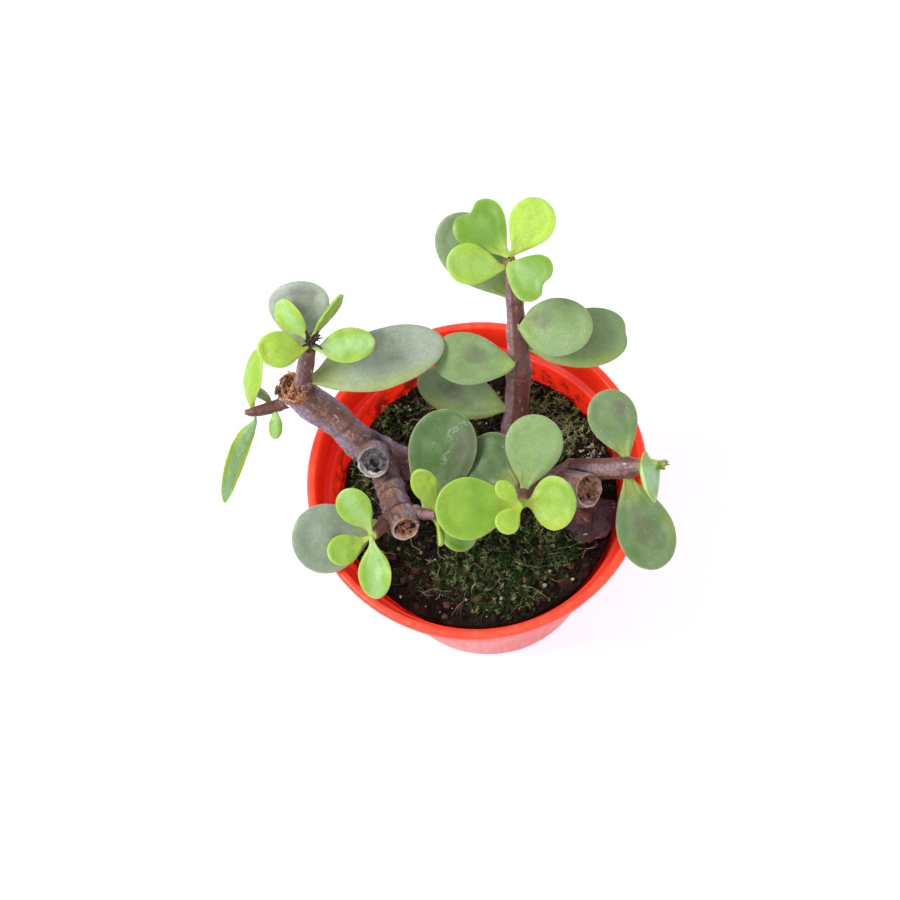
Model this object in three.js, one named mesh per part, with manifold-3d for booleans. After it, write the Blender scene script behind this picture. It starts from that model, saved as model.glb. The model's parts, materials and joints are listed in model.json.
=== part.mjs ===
// A potted elephant bush: a thick old cutting with young shoots, in a red plastic nursery pot.
// Millimetres, +Z up. The origin is the middle of the pot's underside, and the viewer stands at -Y.
import * as THREE from "three";
import { mergeVertices } from "three/addons/utils/BufferGeometryUtils.js";
import Module from "manifold-3d";

const wasm = await Module();
wasm.setup();

// Driving dimensions

// The gap left between pieces that touch.
const SEAT_GAP = 0.3;

const POT = {
  height: 64,
  rimRadius: 42.5,
  lipWidth: 2.2,
  lipHeight: 2.2,
  collarHeight: 10,
  collarRadius: 40.5,
  collarDepth: 9,
  ledgeWidth: 1.9,
  shoulderRadius: 38.2,
  footRadius: 28,
  wall: 1,
  collarSlope: 1,
  floor: 1.2,
  floorCorner: 1.4,
  footRingWidth: 5,
  underRecess: 1.5,
  centrePadRadius: 7,
  step: 0.8,
  drainHoleRadius: 2.2,
  drainCircleRadius: 15,
  drainHoles: 6,
  notchWidth: 4,
  notches: 6,
  sectors: 40,
};

const SOIL = { edgeHeight: 49.5, crownHeight: 52.6, edgeDrop: 1.6, relief: 0.8, sectors: 40, rings: 9 };

// Each limb of old wood: the points of its middle line, and its radius at each of them.
// Knuckles are the growth rings, as [place along the points, share of the radius].
const WOOD = {
  stem: {
    path: [
      [25, -11.6, 34], [25.8, -11.8, 42], [25.2, -11.2, 48.6], [21.4, -8, 53.4], [14.5, -3, 55.3], [6, 1, 55],
      [-6, 5, 55.5], [-16.5, 8.8, 58], [-24.6, 11.5, 64], [-31, 16.4, 73], [-41, 23.4, 84.2],
    ],
    radii: [2.6, 4.6, 5.8, 6, 5.3, 4.9, 4.6, 4.3, 4.5, 4, 4.1],
    knuckles: [[4.7, 0.06], [6.2, 0.05], [7.7, 0.1], [8.5, 0.05], [9.5, 0.03]],
    sides: 14,
    lumps: 0.05,
    cut: true,
  },
  flare: {
    path: [[26, -11, 49.5], [28.5, -14.5, 48.2], [29.5, -16.5, 46.5]],
    radii: [4.2, 2.6, 1.2],
    sides: 10,
    lumps: 0.1,
  },
  faceStub: {
    path: [[-24.4, 11, 63.5], [-24.4, 8, 67.5], [-24.3, 5.1, 71]],
    radii: [3.9, 4, 4.1],
    sides: 14,
    lumps: 0.03,
    cut: true,
  },
  ringBranch: {
    path: [[-22.6, 9.5, 61], [-22, 3, 61.8], [-20.9, -4, 64], [-19.4, -12.8, 68.8]],
    radii: [3.8, 3.5, 3.3, 3.4],
    knuckles: [[1.2, 0.1], [1.75, 0.12], [2.3, 0.1], [2.9, 0.08]],
    sides: 14,
    lumps: 0.03,
    cut: true,
  },
  rightStub: {
    path: [[15.5, -3, 55.5], [20.6, -7, 62.5], [26.1, -12, 69.6]],
    radii: [4.2, 4.1, 4.2],
    knuckles: [[0.9, 0.08], [1.5, 0.05]],
    sides: 14,
    lumps: 0.04,
    cut: true,
  },
};

// Each young shoot: the points of its middle line, which are its leaf joints too, and its radii.
const SHOOTS = {
  top: {
    path: [[-35.6, 19.4, 78], [-37, 22.4, 86], [-35.3, 24, 93], [-33.4, 25.8, 98.5], [-32.5, 26.8, 101.3]],
    radii: [2.3, 2.2, 2, 1.7, 1],
  },
  side: {
    path: [[-38.6, 21, 81.6], [-45.8, 19.6, 82.3], [-50.2, 18.4, 84], [-52.4, 18.4, 84.6]],
    radii: [1.6, 1.5, 1.3, 0.6],
  },
  under: {
    path: [[-20.7, -5, 64.6], [-24.6, -10.6, 68.4], [-27.6, -14.2, 72], [-28.4, -15.4, 74]],
    radii: [1.8, 1.6, 1.4, 0.8],
  },
  beside: {
    path: [[-20, -6.5, 65.8], [-14.2, -9.6, 68], [-11, -12.2, 73], [-10.7, -12.8, 75]],
    radii: [1.6, 1.4, 1.1, 0.6],
  },
  middle: {
    path: [[8.5, 0, 55], [10, -9.2, 70], [9.3, -14.9, 77], [8.8, -16.8, 80.6]],
    radii: [2.5, 2.1, 1.4, 0.9],
  },
  back: {
    path: [
      [9, 0.5, 54.5], [11.8, 12, 58.8], [15, 20.4, 75], [15.9, 26, 84.5], [16.6, 30.6, 94],
      [16.7, 34.6, 103.2], [16.7, 36.6, 107.6],
    ],
    radii: [3.3, 3.2, 3.1, 2.4, 2.1, 1.6, 1],
  },
  right: {
    path: [[16, -2.5, 56], [24.5, -4, 63.3], [36, -8.8, 71.6], [40.4, -10.7, 75.4], [44.2, -12.3, 78.4]],
    radii: [2.8, 2.9, 2.6, 1.6, 1],
  },
};

// Leaf forms: the widest place as a share of the length, the base's share of the width, how hollow the
// sides are towards the base and towards the tip (1 is a plain ellipse, less is fuller, more is narrower),
// the thickness, how far the sides lift (cup) and the tip lifts (curl) as shares of the width and the
// length, and the depth of the dent in the tip as a share of the length.
const FORMS = {
  young: { widest: 0.6, base: 0.16, toBase: 1.05, toTip: 1, thick: 2.2, cup: 0.1, curl: 0.04, dent: 0 },
  oval: { widest: 0.52, base: 0.14, toBase: 0.85, toTip: 1.1, thick: 2.2, cup: 0.1, curl: 0.04, dent: 0 },
  youngRound: { widest: 0.52, base: 0.14, toBase: 0.65, toTip: 1, thick: 2.2, cup: 0.1, curl: 0.02, dent: 0 },
  heart: { widest: 0.66, base: 0.16, toBase: 1, toTip: 0.9, thick: 2.2, cup: 0.12, curl: -0.04, dent: 0.16 },
  folded: { widest: 0.56, base: 0.18, toBase: 0.95, toTip: 1.1, thick: 2.2, cup: 0.34, curl: -0.08, dent: 0 },
  crescent: { widest: 0.52, base: 0.2, toBase: 0.85, toTip: 1.2, thick: 2.4, cup: 0.2, curl: 0.42, dent: 0 },
  hooked: { widest: 0.5, base: 0.2, toBase: 0.8, toTip: 1.3, thick: 2.2, cup: 0.2, curl: 0.6, dent: 0 },
  stub: { widest: 0.5, base: 0.5, toBase: 0.7, toTip: 0.8, thick: 2.2, cup: 0.06, curl: 0, dent: 0 },
  tiny: { widest: 0.58, base: 0.3, toBase: 1, toTip: 1, thick: 1.7, cup: 0.08, curl: 0.05, dent: 0 },
  old: { widest: 0.6, base: 0.16, toBase: 1, toTip: 1, thick: 2.8, cup: 0.06, curl: 0.03, dent: 0 },
  fan: { widest: 0.7, base: 0.12, toBase: 1.5, toTip: 0.95, thick: 2.8, cup: 0.06, curl: 0.03, dent: 0 },
  oldRound: { widest: 0.52, base: 0.14, toBase: 0.6, toTip: 1, thick: 2.8, cup: 0.06, curl: 0.03, dent: 0 },
  oldBroad: { widest: 0.62, base: 0.16, toBase: 0.85, toTip: 1, thick: 2.8, cup: 0.12, curl: -0.02, dent: 0 },
  oldDented: { widest: 0.6, base: 0.16, toBase: 0.7, toTip: 1, thick: 2.8, cup: 0.1, curl: -0.03, dent: 0.06 },
  oldWaisted: { widest: 0.6, base: 0.16, toBase: 1, toTip: 1, thick: 2.8, cup: 0.1, curl: -0.03, dent: 0.06 },
  drooped: { widest: 0.52, base: 0.18, toBase: 0.75, toTip: 1, thick: 2.8, cup: -0.12, curl: -0.18, dent: 0 },
};

// Every leaf: its shoot, the joint it grows at, the heading of its tip round +Z from +X, the rise of its
// tip above the level and its roll about its own length in degrees, its length and width, its form, and,
// where it isn't the heading, the side of the shoot that it grows from.
const LEAVES = [
  ["top_leaf_left", "top", 3, 180, 30, -28, 11.6, 8.7, "oval", 225],
  ["top_leaf_right", "top", 3, -3, 0, 22, 13.2, 8.4, "oval", -30],
  ["top_leaf_back_left", "top", 3.5, 121, 30, -40, 10, 6.8, "folded"],
  ["top_leaf_back_right", "top", 3.5, 41, 24, 100, 11.6, 8, "young", 60],
  ["top_leaf_grey", "top", 2, 84, 40, 4, 17.4, 14.6, "fan"],
  ["top_leaf_long", "top", 1.2, 8.5, 8, 2, 31, 16, "drooped", -10],
  ["side_leaf_up", "side", 2, 92, 55, 112, 12.8, 9, "crescent", 90],
  ["side_leaf_down", "side", 2, -146, -20, -62, 18.2, 6, "hooked", -110],
  ["side_leaf_stub", "side", 1, -108, -40, -9, 5.8, 3.4, "stub"],
  ["side_leaf_back", "side", 1, 130, -8, 60, 5.8, 4.2, "old", 90],
  ["under_leaf_grey", "under", 1, 187, 4, -23, 20, 17, "old"],
  ["under_leaf_up", "under", 2, 118, 36, -15, 11.4, 8.2, "young", 80],
  ["under_leaf_left", "under", 2, 202, 15, -23, 10, 7.4, "young"],
  ["under_leaf_down", "under", 2.3, -96, -15, 0, 12.8, 8, "folded"],
  ["beside_leaf_grey", "beside", 1, 62, 27, 6, 23.6, 16.6, "oldBroad"],
  ["beside_leaf_back", "beside", 2, 110, 56, -13, 12, 6.4, "young"],
  ["beside_leaf_front", "beside", 2, -92, 8, 84, 6.6, 5, "young"],
  ["beside_leaf_low", "beside", 1.3, -40, -20, 10, 11, 8.4, "young"],
  ["middle_leaf_behind", "middle", 1, 122, 4, -10, 14.4, 14, "old"],
  ["middle_leaf_round", "middle", 1.3, 66, 24, 8, 16.8, 14, "old"],
  ["middle_leaf_left", "middle", 2, 177, 6, -22, 18.5, 15, "young"],
  ["middle_leaf_right", "middle", 2, -16, 16, 24, 11.2, 13, "youngRound"],
  ["middle_leaf_tiny_back", "middle", 3, 130, 38, -20, 6.8, 4.4, "tiny"],
  ["middle_leaf_tiny_front", "middle", 3, 222, 0, -18, 6.6, 6, "tiny"],
  ["back_leaf_heart", "back", 5.6, 121, 17, -12, 13.6, 13, "heart"],
  ["back_leaf_yellow", "back", 5.5, 45, 24, 18, 13.5, 11, "young"],
  ["back_leaf_left", "back", 5, 168, 16, -24, 13, 9.8, "young", 200],
  ["back_leaf_right", "back", 5.35, -40, 0, 14, 10.8, 12, "heart", -110],
  ["back_leaf_grey", "back", 4, 122, 24, -12, 22.4, 15, "old"],
  ["back_leaf_round", "back", 3.35, -10, 4, 23, 17.2, 14, "oldRound", -88],
  ["back_leaf_dented", "back", 2.6, -4, 3, 23, 24, 14.5, "oldDented", 0],
  ["back_leaf_mid", "back", 2.35, 163, 10, -22, 19.8, 12.8, "oldWaisted", -110],
  ["back_leaf_low", "back", 1.4, 154, 17, -24, 21.5, 12, "drooped", 195],
  ["right_leaf_up", "right", 2, 100, 20, -5, 16, 12, "old"],
  ["right_leaf_down", "right", 2, -82, -16, 2, 21.8, 14, "old", -70],
  ["right_leaf_edge", "right", 3.7, -142, 55, -43, 11.5, 12.5, "young", -90],
];

// A growth ring or leaf joint: how far it spreads along a limb, in path points, and a joint's swelling.
const KNUCKLE_SPREAD = 0.16;
const JOINT_SWELL = 0.12;
const SHOOT_SIDES = 10;
// The step along a limb between its rings of points.
const WOOD_STEP = 2;
const SHOOT_STEP = 1.8;
// A sawn end's rim of bark as a share of the radius, and how far the wood inside it has dried back.
const CUT_RIM = 0.22;
const CUT_DEPTH = 0.7;
// The length of an uncut end's tip, as a share of the radius.
const TIP_LENGTH = 0.8;

// Leaf mesh: sections along a leaf, and points round each section.
const LEAF_SECTIONS = 9;
const LEAF_POINTS = 8;
// A leaf's thickness at its base and its tip, as shares of its full thickness, and how much of the
// thickness lies below its edge.
const BASE_DEPTH = 0.62;
const TIP_DEPTH = 0.35;
const BELLY = 0.6;

// Colours and finishes
function finish(color, roughness) {
  return new THREE.MeshStandardMaterial({ color, roughness, metalness: 0 });
}
const FINISHES = {
  pot: finish(0xe63418, 0.42),
  soil: finish(0x2a2019, 0.95),
  bark: finish(0x86706a, 0.8),
  stem: finish(0x8a4f4a, 0.6),
  oldLeaf: finish(0x6f9468, 0.45),
  youngLeaf: finish(0xa6d92e, 0.4),
};
const YOUNG_FORMS = [
  "young", "oval", "youngRound", "heart", "folded", "crescent", "hooked", "stub", "tiny",
];

// From a geometry to a solid that can be cut and joined, and back
function solidOf(geometry) {
  const bare = geometry.clone();
  bare.deleteAttribute("normal");
  bare.deleteAttribute("uv");
  const merged = mergeVertices(bare, 1e-4);
  return new wasm.Manifold(
    new wasm.Mesh({
      numProp: 3,
      vertProperties: merged.attributes.position.array,
      triVerts: new Uint32Array(merged.index.array),
    }),
  );
}

function geometryOf(solid) {
  const mesh = solid.getMesh();
  const geometry = new THREE.BufferGeometry();
  geometry.setAttribute("position", new THREE.BufferAttribute(mesh.vertProperties, 3));
  geometry.setIndex(new THREE.BufferAttribute(mesh.triVerts, 1));
  geometry.computeVertexNormals();
  return geometry;
}

function joined(solids) {
  return solids.reduce((whole, next) => whole.add(next));
}

// The largest body of a solid, without the crumbs that a cut can leave.
function mainBody(solid) {
  return solid.decompose().reduce((best, next) => (next.volume() > best.volume() ? next : best));
}

// A closed skin over a row of rings with the same number of points, which turn counter-clockwise as seen
// from the last ring. The row is closed by a fan to a point at each end.
function skin(rings, firstPoint, lastPoint) {
  const count = rings[0].length;
  const points = [firstPoint, ...rings.flat(), lastPoint];
  const last = points.length - 1;
  const index = [];
  for (let j = 0; j < count; j++) {
    const next = (j + 1) % count;
    index.push(0, 1 + next, 1 + j);
    for (let i = 0; i + 1 < rings.length; i++) {
      const here = 1 + i * count;
      const there = here + count;
      index.push(here + j, here + next, there + next, here + j, there + next, there + j);
    }
    const end = 1 + (rings.length - 1) * count;
    index.push(last, end + j, end + next);
  }
  const geometry = new THREE.BufferGeometry().setFromPoints(points);
  geometry.setIndex(index);
  geometry.computeVertexNormals();
  return geometry;
}

// A value between those given at whole numbers, eased so that it has no corners.
function between(values, place) {
  const i = Math.min(Math.floor(place), values.length - 2);
  const share = (1 - Math.cos(Math.PI * Math.min(place - i, 1))) / 2;
  return values[i] * (1 - share) + values[i + 1] * share;
}

// Pot

// The two ends of the pot's inside wall, from its floor's corner up to the ledge under the collar.
const INSIDE = {
  low: {
    r: POT.footRadius - POT.wall - POT.floorCorner / 2,
    z: POT.underRecess + POT.floor + POT.floorCorner / 2,
  },
  high: {
    r: POT.rimRadius - POT.lipWidth - POT.collarSlope - POT.ledgeWidth,
    z: POT.height - POT.collarDepth,
  },
};

function potSolid() {
  const { height, rimRadius, lipHeight, footRadius, shoulderRadius, step } = POT;
  const shoulder = height - POT.collarHeight;
  const ringInner = footRadius - POT.footRingWidth;
  const floorTop = POT.underRecess + POT.floor;
  const collarInside = rimRadius - POT.lipWidth;
  const profile = [
    [0, 0],
    [POT.centrePadRadius, 0],
    [POT.centrePadRadius + step, POT.underRecess],
    [ringInner, POT.underRecess],
    [ringInner + step, 0],
    [footRadius - step, 0],
    [footRadius, step],
    [shoulderRadius, shoulder - 0.4],
    [POT.collarRadius - 0.4, shoulder - 0.4],
    [POT.collarRadius, shoulder + 0.2],
    [POT.collarRadius + 0.7, height - lipHeight],
    [rimRadius - 0.3, height - lipHeight],
    [rimRadius, height - lipHeight + 0.5],
    [rimRadius, height - 0.7],
    [rimRadius - 0.5, height],
    [collarInside + 0.3, height],
    [collarInside, height - 0.4],
    [collarInside - POT.collarSlope, INSIDE.high.z + 0.2],
    [INSIDE.high.r, INSIDE.high.z],
    [INSIDE.low.r, INSIDE.low.z],
    [INSIDE.low.r - POT.floorCorner, floorTop],
    [0, floorTop],
  ].map(([r, z]) => new THREE.Vector2(r, z));
  const lathe = new THREE.LatheGeometry(profile, POT.sectors);
  lathe.rotateX(Math.PI / 2);
  const cuts = [];
  for (let i = 0; i < POT.drainHoles; i++) {
    const hole = new THREE.CylinderGeometry(POT.drainHoleRadius, POT.drainHoleRadius, 4 * floorTop, 12);
    hole.rotateX(Math.PI / 2);
    hole.translate(POT.drainCircleRadius, 0, 0);
    hole.rotateZ((2 * Math.PI * i) / POT.drainHoles);
    cuts.push(solidOf(hole));
  }
  for (let i = 0; i < POT.notches; i++) {
    const notch = new THREE.BoxGeometry(2 * POT.footRingWidth, POT.notchWidth, 2 * POT.underRecess);
    notch.translate(footRadius, 0, 0);
    notch.rotateZ((2 * Math.PI * (i + 0.5)) / POT.notches);
    cuts.push(solidOf(notch));
  }
  return solidOf(lathe).subtract(joined(cuts));
}

// Wood and shoots

// A limb along a smooth curve through its points. It may be grown on all sides, to cut a seat for it.
function limbSolid(limb, grow = 0) {
  const { path, radii, sides, knuckles = [], lumps = 0, cut = false, spacing = WOOD_STEP } = limb;
  const curve = new THREE.CatmullRomCurve3(path.map((p) => new THREE.Vector3(...p)), false, "centripetal");
  const steps = Math.ceil(curve.getLength() / spacing);
  const frames = curve.computeFrenetFrames(steps, false);
  const rings = [];
  const ringAt = (centre, radius, i) =>
    Array.from({ length: sides }, (_, j) => {
      const turn = (2 * Math.PI * j) / sides;
      const lump = 1 + lumps * (Math.sin(3 * turn + 0.9 * i) + 0.7 * Math.sin(2 * turn - 0.6 * i + 1));
      return new THREE.Vector3()
        .copy(centre)
        .addScaledVector(frames.normals[i], radius * lump * Math.cos(turn))
        .addScaledVector(frames.binormals[i], radius * lump * Math.sin(turn));
    });
  const centres = [];
  let radius = 0;
  for (let i = 0; i <= steps; i++) {
    const place = curve.getUtoTmapping(i / steps) * (path.length - 1);
    radius = between(radii, place);
    for (const [where, share] of knuckles) {
      radius *= 1 + share * Math.exp(-(((place - where) / KNUCKLE_SPREAD) ** 2));
    }
    const centre = curve.getPointAt(i / steps);
    if (i === 0) centre.addScaledVector(frames.tangents[0], -grow);
    if (i === steps) centre.addScaledVector(frames.tangents[steps], grow);
    centres.push(centre);
    rings.push(ringAt(centre, radius + grow, i));
  }
  const end = centres[steps].clone();
  const forward = frames.tangents[steps];
  if (cut && grow === 0) {
    rings.push(ringAt(end, radius * (1 - CUT_RIM), steps));
    end.addScaledVector(forward, -CUT_DEPTH);
  } else if (!cut) {
    end.addScaledVector(forward, radius * TIP_LENGTH);
  }
  return solidOf(skin(rings, centres[0], end));
}

function woodSolid(grow = 0) {
  return joined(Object.values(WOOD).map((limb) => limbSolid(limb, grow)));
}

function shootLimb(shoot, grow = 0) {
  const knuckles = shoot.path.slice(1, -1).map((_, i) => [i + 1, JOINT_SWELL]);
  return limbSolid({ ...shoot, knuckles, sides: SHOOT_SIDES, spacing: SHOOT_STEP }, grow);
}

// The line of a shoot at a joint: the point, its direction, and the radius there.
function jointOf(shoot, place) {
  const curve = new THREE.CatmullRomCurve3(
    shoot.path.map((p) => new THREE.Vector3(...p)), false, "centripetal");
  const t = place / (shoot.path.length - 1);
  return { point: curve.getPoint(t), direction: curve.getTangent(t), radius: between(shoot.radii, place) };
}

// Soil

function soilSolid() {
  const { sectors, rings } = SOIL;
  const floor = POT.underRecess + POT.floor + SEAT_GAP;
  const slope = (INSIDE.high.r - INSIDE.low.r) / (INSIDE.high.z - INSIDE.low.z);
  const wallRadius = (z) => INSIDE.low.r + slope * (z - INSIDE.low.z) - SEAT_GAP;
  const heightAt = (x, y) => {
    const out = Math.hypot(x, y) / wallRadius(SOIL.edgeHeight);
    const crown = SOIL.crownHeight - (SOIL.crownHeight - SOIL.edgeHeight) * out * out;
    const waves = Math.sin(0.31 * x + 0.8) * Math.cos(0.27 * y) + 0.6 * Math.sin(0.53 * y - 0.37 * x);
    return crown + SOIL.relief * waves * (1 - 0.6 * out ** 4);
  };
  const ringOf = (radiusAt, zAt) =>
    Array.from({ length: sectors }, (_, j) => {
      const turn = (2 * Math.PI * j) / sectors;
      const x = radiusAt * Math.cos(turn);
      const y = radiusAt * Math.sin(turn);
      return new THREE.Vector3(x, y, zAt(x, y));
    });
  const corner = floor + POT.floorCorner;
  const edge = SOIL.edgeHeight - SOIL.edgeDrop;
  const rows = [
    ringOf(wallRadius(floor) - 1.5 * POT.floorCorner, () => floor),
    ringOf(wallRadius(corner), () => corner),
    ringOf(wallRadius(edge), () => edge),
  ];
  for (let i = rings; i > 0; i--) rows.push(ringOf((wallRadius(edge) * i) / rings, heightAt));
  return solidOf(skin(rows, new THREE.Vector3(0, 0, floor), new THREE.Vector3(0, 0, heightAt(0, 0))));
}

// Leaves

// A leaf from its base at the origin to its tip on +X, with its upper side to +Z.
function leafGeometry(length, width, form) {
  const { widest, base, toBase, toTip, thick, cup, curl, dent } = FORMS[form];
  const half = width / 2;
  const baseSections = Math.round(LEAF_SECTIONS * 0.5);
  const stations = [];
  for (let i = 0; i < LEAF_SECTIONS; i++) {
    if (i < baseSections) {
      const share = i / baseSections;
      const swell = Math.sin((Math.PI / 2) * share) ** toBase;
      stations.push([widest * share, base + (1 - base) * swell, BASE_DEPTH + (1 - BASE_DEPTH) * swell]);
    } else {
      const turn = ((i - baseSections) / (LEAF_SECTIONS - baseSections)) * (Math.PI / 2);
      const wide = Math.cos(turn) ** toTip;
      stations.push([widest + (1 - widest) * Math.sin(turn), wide, TIP_DEPTH + (1 - TIP_DEPTH) * wide]);
    }
  }
  const bend = (x, y, z) => {
    const along = x / length;
    const across = y / half;
    const tipward = Math.max(0, (along - 0.5) / 0.5);
    const dented = dent * length * tipward * tipward * Math.exp(-((across / 0.3) ** 2));
    const lifted = cup * half * across * across * Math.min(1, along / widest) + curl * length * along * along;
    return new THREE.Vector3(x - dented, y, z + lifted);
  };
  const rings = stations.map(([along, wide, deep]) =>
    Array.from({ length: LEAF_POINTS }, (_, j) => {
      const turn = (2 * Math.PI * j) / LEAF_POINTS;
      const z = Math.sin(turn) * thick * deep * (Math.sin(turn) > 0 ? 1 - BELLY : BELLY);
      return bend(along * length, Math.cos(turn) * half * wide, z);
    }),
  );
  return skin(rings, bend(0, 0, 0), bend(length, 0, 0));
}

// The leaf's stand: a group turned to its heading, rise and roll, on the side of the shoot that the leaf
// grows from, with the leaf's base just clear of the bark.
function leafStand([name, shootName, place, heading, rise, roll, length, width, form, side = heading]) {
  const { point, direction, radius } = jointOf(SHOOTS[shootName], place);
  const { base, thick } = FORMS[form];
  const degrees = THREE.MathUtils.degToRad;
  const stand = new THREE.Group();
  stand.rotation.set(degrees(roll), -degrees(rise), degrees(heading), "ZYX");
  const outward = new THREE.Vector3(Math.cos(degrees(side)), Math.sin(degrees(side)), 0);
  outward.addScaledVector(direction, -outward.dot(direction)).normalize();
  const across = new THREE.Vector3(0, 1, 0).applyEuler(stand.rotation).dot(outward);
  const through = new THREE.Vector3(0, 0, 1).applyEuler(stand.rotation).dot(outward);
  const baseReach = Math.hypot((across * base * width) / 2, through * BASE_DEPTH * thick * BELLY);
  stand.position.copy(point).addScaledVector(outward, radius + SEAT_GAP + baseReach);
  const colour = YOUNG_FORMS.includes(form) ? FINISHES.youngLeaf : FINISHES.oldLeaf;
  const leaf = new THREE.Mesh(leafGeometry(length, width, form), colour);
  leaf.name = name;
  stand.add(leaf);
  return stand;
}

// Assembly

function piece(name, solid, material) {
  const mesh = new THREE.Mesh(geometryOf(solid), material);
  mesh.name = name;
  return mesh;
}

const pottedBush = new THREE.Group();
const woodSeat = woodSolid(SEAT_GAP);
const shootSeats = joined(Object.values(SHOOTS).map((shoot) => shootLimb(shoot, SEAT_GAP)));

pottedBush.add(piece("pot", potSolid(), FINISHES.pot));
pottedBush.add(piece("soil", mainBody(soilSolid().subtract(woodSeat).subtract(shootSeats)), FINISHES.soil));
pottedBush.add(piece("trunk", woodSolid(), FINISHES.bark));
for (const [name, shoot] of Object.entries(SHOOTS)) {
  pottedBush.add(piece("shoot_" + name, mainBody(shootLimb(shoot).subtract(woodSeat)), FINISHES.stem));
}
for (const leaf of LEAVES) pottedBush.add(leafStand(leaf));

export default pottedBush;
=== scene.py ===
# %% [markdown]
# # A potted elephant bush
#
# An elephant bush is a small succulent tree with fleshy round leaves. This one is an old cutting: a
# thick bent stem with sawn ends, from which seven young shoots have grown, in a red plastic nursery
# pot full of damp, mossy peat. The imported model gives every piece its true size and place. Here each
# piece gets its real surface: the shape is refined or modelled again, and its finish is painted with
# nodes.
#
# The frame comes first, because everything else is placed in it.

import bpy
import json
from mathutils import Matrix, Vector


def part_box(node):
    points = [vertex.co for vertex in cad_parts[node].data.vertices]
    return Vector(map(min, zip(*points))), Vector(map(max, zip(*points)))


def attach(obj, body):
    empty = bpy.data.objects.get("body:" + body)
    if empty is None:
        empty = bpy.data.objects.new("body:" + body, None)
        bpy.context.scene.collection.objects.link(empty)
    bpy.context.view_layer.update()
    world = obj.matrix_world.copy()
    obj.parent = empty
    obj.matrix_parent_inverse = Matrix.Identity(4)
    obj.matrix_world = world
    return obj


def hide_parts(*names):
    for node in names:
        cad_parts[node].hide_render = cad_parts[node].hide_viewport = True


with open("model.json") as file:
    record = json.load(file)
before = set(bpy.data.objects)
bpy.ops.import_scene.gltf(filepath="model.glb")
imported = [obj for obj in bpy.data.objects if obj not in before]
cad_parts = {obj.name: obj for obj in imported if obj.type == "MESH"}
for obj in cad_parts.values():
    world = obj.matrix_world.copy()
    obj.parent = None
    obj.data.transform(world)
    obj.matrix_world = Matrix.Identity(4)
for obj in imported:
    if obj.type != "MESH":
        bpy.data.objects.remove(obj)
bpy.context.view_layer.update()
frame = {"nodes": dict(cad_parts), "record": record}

import json
import math
import random

import bmesh
import bpy
import numpy as np
from mathutils import Matrix, Vector, noise
from mathutils.kdtree import KDTree

MM = 0.001

# %% [markdown]
# ## Camera, floor and light
#
# The plant was photographed from high up, leaning over the pot, with a medium long lens and the
# camera turned a little to one side. A camera can be set by typing a rotation, or by building its
# three axes from an azimuth and an elevation. The axes are used here, because the same two angles
# then describe any other view.

# %% A camera looks down into the pot
AIM = Vector((-5.3, 7.6, 64.0)) * MM
ELEVATION = math.radians(66.9)
ROLL = math.radians(-10.6)
DISTANCE = 450 * MM

eye = bpy.data.cameras.new("eye")
eye.lens = 72
eye.sensor_width = 36
eye.clip_start = 0.01
camera = bpy.data.objects.new("eye", eye)
bpy.context.scene.collection.objects.link(camera)
back = Vector((0, -math.cos(ELEVATION), math.sin(ELEVATION)))
right = Vector((1, 0, 0))
up = back.cross(right)
turned_right = right * math.cos(ROLL) + up * math.sin(ROLL)
turned_up = up * math.cos(ROLL) - right * math.sin(ROLL)
axes = Matrix((turned_right, turned_up, back)).transposed().to_4x4()
camera.matrix_world = Matrix.Translation(AIM + back * DISTANCE) @ axes
bpy.context.scene.camera = camera
print("the camera stands at", [round(v, 3) for v in camera.location], "m")

# %% [markdown]
# The backdrop is plain white and so bright that its own texture is lost, with one faint bluish shadow
# at the lower right. A white floor under an even white sky gives that, and one large lamp at the
# left gives the leaves their soft highlights. The standard view keeps white white and the red
# of the pot pure.

# %% A white floor, an even sky and one large soft lamp
scene = bpy.context.scene
scene.view_settings.view_transform = "Standard"

FLOOR_WIDTH = 4
FLOOR_GAP = 0.2 * MM
bpy.ops.object.select_all(action="DESELECT")
bpy.ops.mesh.primitive_plane_add(size=FLOOR_WIDTH, location=(0, 0, -FLOOR_GAP))
floor = bpy.context.object
floor.name = "floor"

sky = bpy.data.worlds.new("sky")
scene.world = sky
sky.use_nodes = True
sky.node_tree.nodes["Background"].inputs["Color"].default_value = (0.97, 0.98, 1.0, 1)
sky.node_tree.nodes["Background"].inputs["Strength"].default_value = 0.69


def lamp(name, place, width, power, colour):
    """A square lamp at a place, which faces the plant. Place and width are in metres, power in watts."""
    light = bpy.data.lights.new(name, "AREA")
    light.size = width
    light.energy = power
    light.color = colour
    holder = bpy.data.objects.new(name, light)
    scene.collection.objects.link(holder)
    holder.location = place
    holder.rotation_euler = (AIM - Vector(place)).to_track_quat("-Z", "Y").to_euler()


lamp("window", (-0.42, 0.02, 0.64), 0.32, 5.0, (1.0, 0.99, 0.97))
lamp("fill", (0.15, -0.50, 0.55), 0.6, 0.9, (0.95, 0.97, 1.0))

# %% [markdown]
# ## Tools for the finishes
#
# A finish is a small network of shader nodes. Wiring each node by hand takes many lines, so short
# helpers do it: one puts a node down with its values, one blends two colours, some do sums, and one
# turns a value into a soft-edged mask.

# %% Helpers that wire nodes
def wire(tree, socket, value):
    """Links a socket to another, or types a plain value into it."""
    if isinstance(value, bpy.types.NodeSocket):
        tree.links.new(value, socket)
    else:
        socket.default_value = value


def put(tree, kind, inputs=None, **settings):
    """A new node of this kind, with its settings and its inputs."""
    made = tree.nodes.new("ShaderNode" + kind)
    for key, value in settings.items():
        setattr(made, key, value)
    for key, value in (inputs or {}).items():
        wire(tree, made.inputs[key], value)
    return made


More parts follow.
